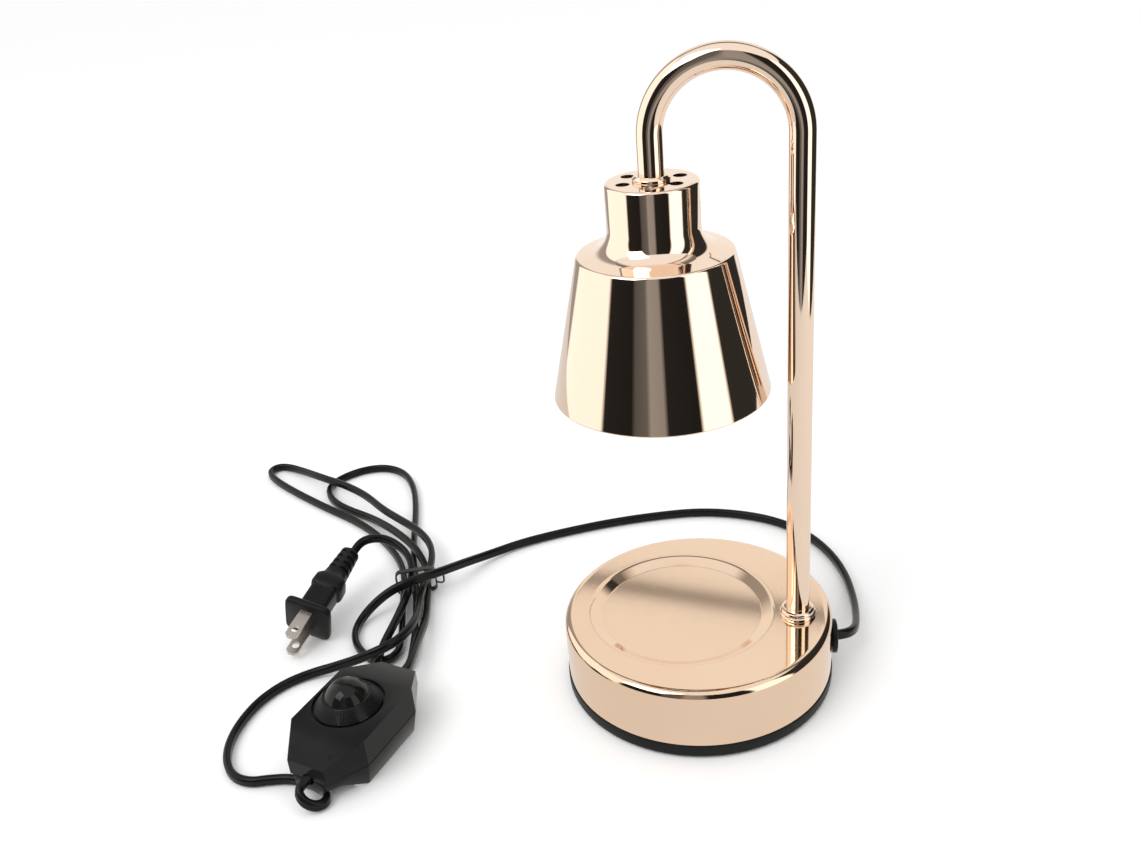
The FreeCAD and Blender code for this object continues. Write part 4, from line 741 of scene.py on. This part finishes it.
def makeTie(s):
    place = Matrix.Translation((s["x"], s["y"], 0)) @ Matrix.Rotation(math.radians(s["turn"]), 4, "Z")
    wide, low, high = s["halfWide"], s["low"], s["high"]
    corners = ((-wide, low), (wide, low), (wide, high), (-wide, high))
    loop = roundCorners([(x, z, s["corner"]) for x, z in corners], s["cornerSteps"])
    half = s["width"] / 2
    rings = []
    count = len(loop)
    for i, p in enumerate(loop):
        along = (loop[(i + 1) % count] - loop[i - 1]).normalized()
        q = p + Vector((-along.y, along.x)) * s["thick"]
        rings.append([(p.x, -half, p.y), (p.x, half, p.y), (q.x, half, q.y), (q.x, -half, q.y)])
    tail = [Vector(p) for p in s["tail"]]
    hook = []
    for i, p in enumerate(tail):
        along = (tail[min(i + 1, len(tail) - 1)] - tail[max(i - 1, 0)]).normalized()
        side = along.cross(Vector((0, 1, 0))).normalized() * s["wire"]
        hook.append([p + side * math.cos(a) + along.cross(side) * math.sin(a)
                     for a in turns(s["wireSteps"])])
    mesh = joined("twistTie", [swept("twistTie", rings, closed=True, place=place),
                               swept("tieHook", hook, place=place)])
    return addPiece("twistTie", mesh, "tieBlack", sharp=40, replaced=["twist_tie"])


tiePiece = makeTie(tie)


# finishes of the pieces kept from CAD

carried = {"zincPlate": ["tray_screws", "post_washer", "post_nut", "head_nut", "holder_bracket",
                         "holder_screws", "dimmer_screws", "potentiometer", "knob_shaft", "lamp_pins"],
           "castIron": ["base_weight"], "footFoam": ["foot_pad"],
           "whiteSteatite": ["lamp_holder", "lamp_foot"], "wireWhite": ["lamp_wires", "crimp_caps"],
           "boardGreen": ["dimmer_board"], "chipDark": ["board_parts"]}
for look, nodes in carried.items():
    for node in nodes:
        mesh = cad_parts[node].data
        mesh.materials.clear()
        mesh.materials.append(mats[look])


# studio: pale floor, soft light and cards that only reflections see

studio = {"floorColor": (0.98, 0.98, 0.98, 1), "floorRough": 0.9, "floorGloss": 0.1, "floorHalf": 12,
          "worldLight": 1.0, "keySize": 0.9, "keyPower": 8.0, "keySpot": (-0.7, -0.8, 1.3),
          "keyAim": (0, 0, 0.1), "worldColor": (1, 1, 1, 1), "cardTint": (1, 0.98, 0.95, 1),
          "drumRadius": 1.6, "drumLow": -1.6, "drumHigh": 2.0, "drumMiddle": -81.2, "drumStep": 4,
          "drum": [(-180, 1.0), (-160, 1.0), (-150, 0.4), (-134, 0.35), (-130, 1.3), (-66, 1.3), (-62, 0.02),
                   (-32, 0.015), (-28, 0.1), (-16, 0.14), (-12, 0.34), (1, 0.3), (5, 0.02), (37, 0.015),
                   (41, 1.6), (70, 1.6), (74, 0.03), (138, 0.03), (143, 1.0), (180, 1.0)],
          "table": (-0.55, -0.46, 0.5, 0.8), "tableZ": -0.001, "tableGlow": (0.74, 0.94), "bandY": 1.5,
          "bandFrom": (-1.0, 1.005), "bandTo": (0.7, 1.226), "bandTall": 0.036, "bandGlow": 0.1,
          "lipHigh": 2.0, "lipGlow": 0.2, "lipColumns": [(-2.0, 1), (-1.0, 0), (1.3, 0), (2.4, 1)],
          "lipRows": [(0.65, 1), (1.0, 0), (1.45, 0), (1.85, 1)]}


def glossCard(name, corners, faces, glows):
    # a card that only reflections see, with its brightness at each corner
    mesh = bpy.data.meshes.new(name)
    mesh.from_pydata(corners, [], faces)
    card = linked(name, mesh)
    mat = bpy.data.materials.new(name)
    mat.use_nodes = True
    mat.node_tree.nodes.clear()
    mesh.attributes.new("glow", "FLOAT", "POINT").data.foreach_set("value", glows)
    level = mat.node_tree.nodes.new("ShaderNodeAttribute")
    level.attribute_name = "glow"
    shine = addNode(mat.node_tree, "ShaderNodeEmission", Color=studio["cardTint"])
    out = mat.node_tree.nodes.new("ShaderNodeOutputMaterial")
    mat.node_tree.links.new(level.outputs["Fac"], shine.inputs["Strength"])
    mat.node_tree.links.new(shine.outputs[0], out.inputs["Surface"])
    mesh.materials.append(mat)
    card.visible_camera = card.visible_diffuse = card.visible_shadow = card.visible_transmission = False
    return card


def fineBands(bands, step):
    # the listed bands with columns at most step degrees apart
    out = []
    for (a, low), (b, high) in zip(bands, bands[1:]):
        count = max(1, math.ceil((b - a) / step))
        out += [(a + (b - a) * k / count, low + (high - low) * k / count) for k in range(count)]
    return out + [bands[-1]]


def makeFloor(s):
    mesh = bpy.data.meshes.new("floor")
    half = s["floorHalf"]
    mesh.from_pydata([(-half, -half, 0), (half, -half, 0), (half, half, 0), (-half, half, 0)], [],
                     [(0, 1, 2, 3)])
    mat = bpy.data.materials.new("paleFloor")
    mat.use_nodes = True
    shader = mat.node_tree.nodes["Principled BSDF"]
    shader.inputs["Base Color"].default_value = s["floorColor"]
    shader.inputs["Roughness"].default_value = s["floorRough"]
    shader.inputs["Specular IOR Level"].default_value = s["floorGloss"]
    mesh.materials.append(mat)
    floor = linked("floor", mesh)
    floor.visible_glossy = False
    return floor


def makeCards(s):
    spots, glows = [], []
    for turn, glow in fineBands(s["drum"], s["drumStep"]):
        a = math.radians(s["drumMiddle"] + turn)
        x, y = arm["headX"] * mm + s["drumRadius"] * math.cos(a), s["drumRadius"] * math.sin(a)
        spots += [(x, y, s["drumLow"]), (x, y, s["drumHigh"])]
        glows += [glow, glow]
    faces = [(2 * i, 2 * i + 2, 2 * i + 3, 2 * i + 1) for i in range(len(spots) // 2 - 1)]
    cards = [glossCard("bandDrum", spots, faces, glows)]
    x0, y0, x1, y1 = s["table"]
    table = [(x, y, s["tableZ"]) for x, y in ((x0, y0), (x1, y0), (x1, y1), (x0, y1))]
    cards.append(glossCard("tableCard", table, [(0, 1, 2, 3)], [s["tableGlow"][k] for k in (0, 1, 1, 0)]))
    (x0, z0), (x1, z1), half = s["bandFrom"], s["bandTo"], s["bandTall"] / 2
    corners = ((x0, z0 - half), (x1, z1 - half), (x1, z1 + half), (x0, z0 + half))
    band = [(x, s["bandY"], z) for x, z in corners]
    cards.append(glossCard("backBand", band, [(0, 1, 2, 3)], [s["bandGlow"]] * 4))
    # the lip card fades out towards its edges
    lip = [(x, y, s["lipHigh"]) for y, _ in s["lipRows"] for x, _ in s["lipColumns"]]
    fades = [s["lipGlow"] + (1 - s["lipGlow"]) * max(a, b)
             for _, a in s["lipRows"] for _, b in s["lipColumns"]]
    wide = len(s["lipColumns"])
    cells = [(k, k + 1, k + wide + 1, k + wide) for k in range(len(lip) - wide) if (k + 1) % wide]
    cards.append(glossCard("lipCard", lip, cells, fades))
    return cards


def makeLight(s):
    world = bpy.data.worlds.new("studio")
    bpy.context.scene.world = world
    world.use_nodes = True
    back = world.node_tree.nodes["Background"]
    back.inputs["Color"].default_value = s["worldColor"]
    back.inputs["Strength"].default_value = s["worldLight"]
    data = bpy.data.lights.new("softbox", "AREA")
    data.size = s["keySize"]
    data.energy = s["keyPower"]
    key = linked("softbox", data)
    key.location = s["keySpot"]
    key.rotation_euler = (Vector(s["keyAim"]) - Vector(s["keySpot"])).to_track_quat("-Z", "Y").to_euler()


stage = [makeFloor(studio)] + makeCards(studio)
makeLight(studio)


# camera of the photograph

view = {"spot": (0.05364, -0.41367, 0.33863), "right": (0.9756, 0.2039, -0.0821),
        "up": (-0.0206, 0.4572, 0.8891), "ahead": (-0.2189, 0.8657, -0.4502), "lens": 35.556, "sensor": 36,
        "near": 0.01}
cameraData = bpy.data.cameras.new("camera")
cameraData.lens = view["lens"]
cameraData.sensor_width = view["sensor"]
cameraData.clip_start = view["near"]
camera = linked("camera", cameraData)
turn = Matrix((view["right"], view["up"], [-c for c in view["ahead"]])).transposed()
camera.matrix_world = Matrix.Translation(view["spot"]) @ turn.to_quaternion().to_matrix().to_4x4()
bpy.context.scene.camera = camera
bpy.context.scene.view_settings.view_transform = "Standard"
print("studio made")
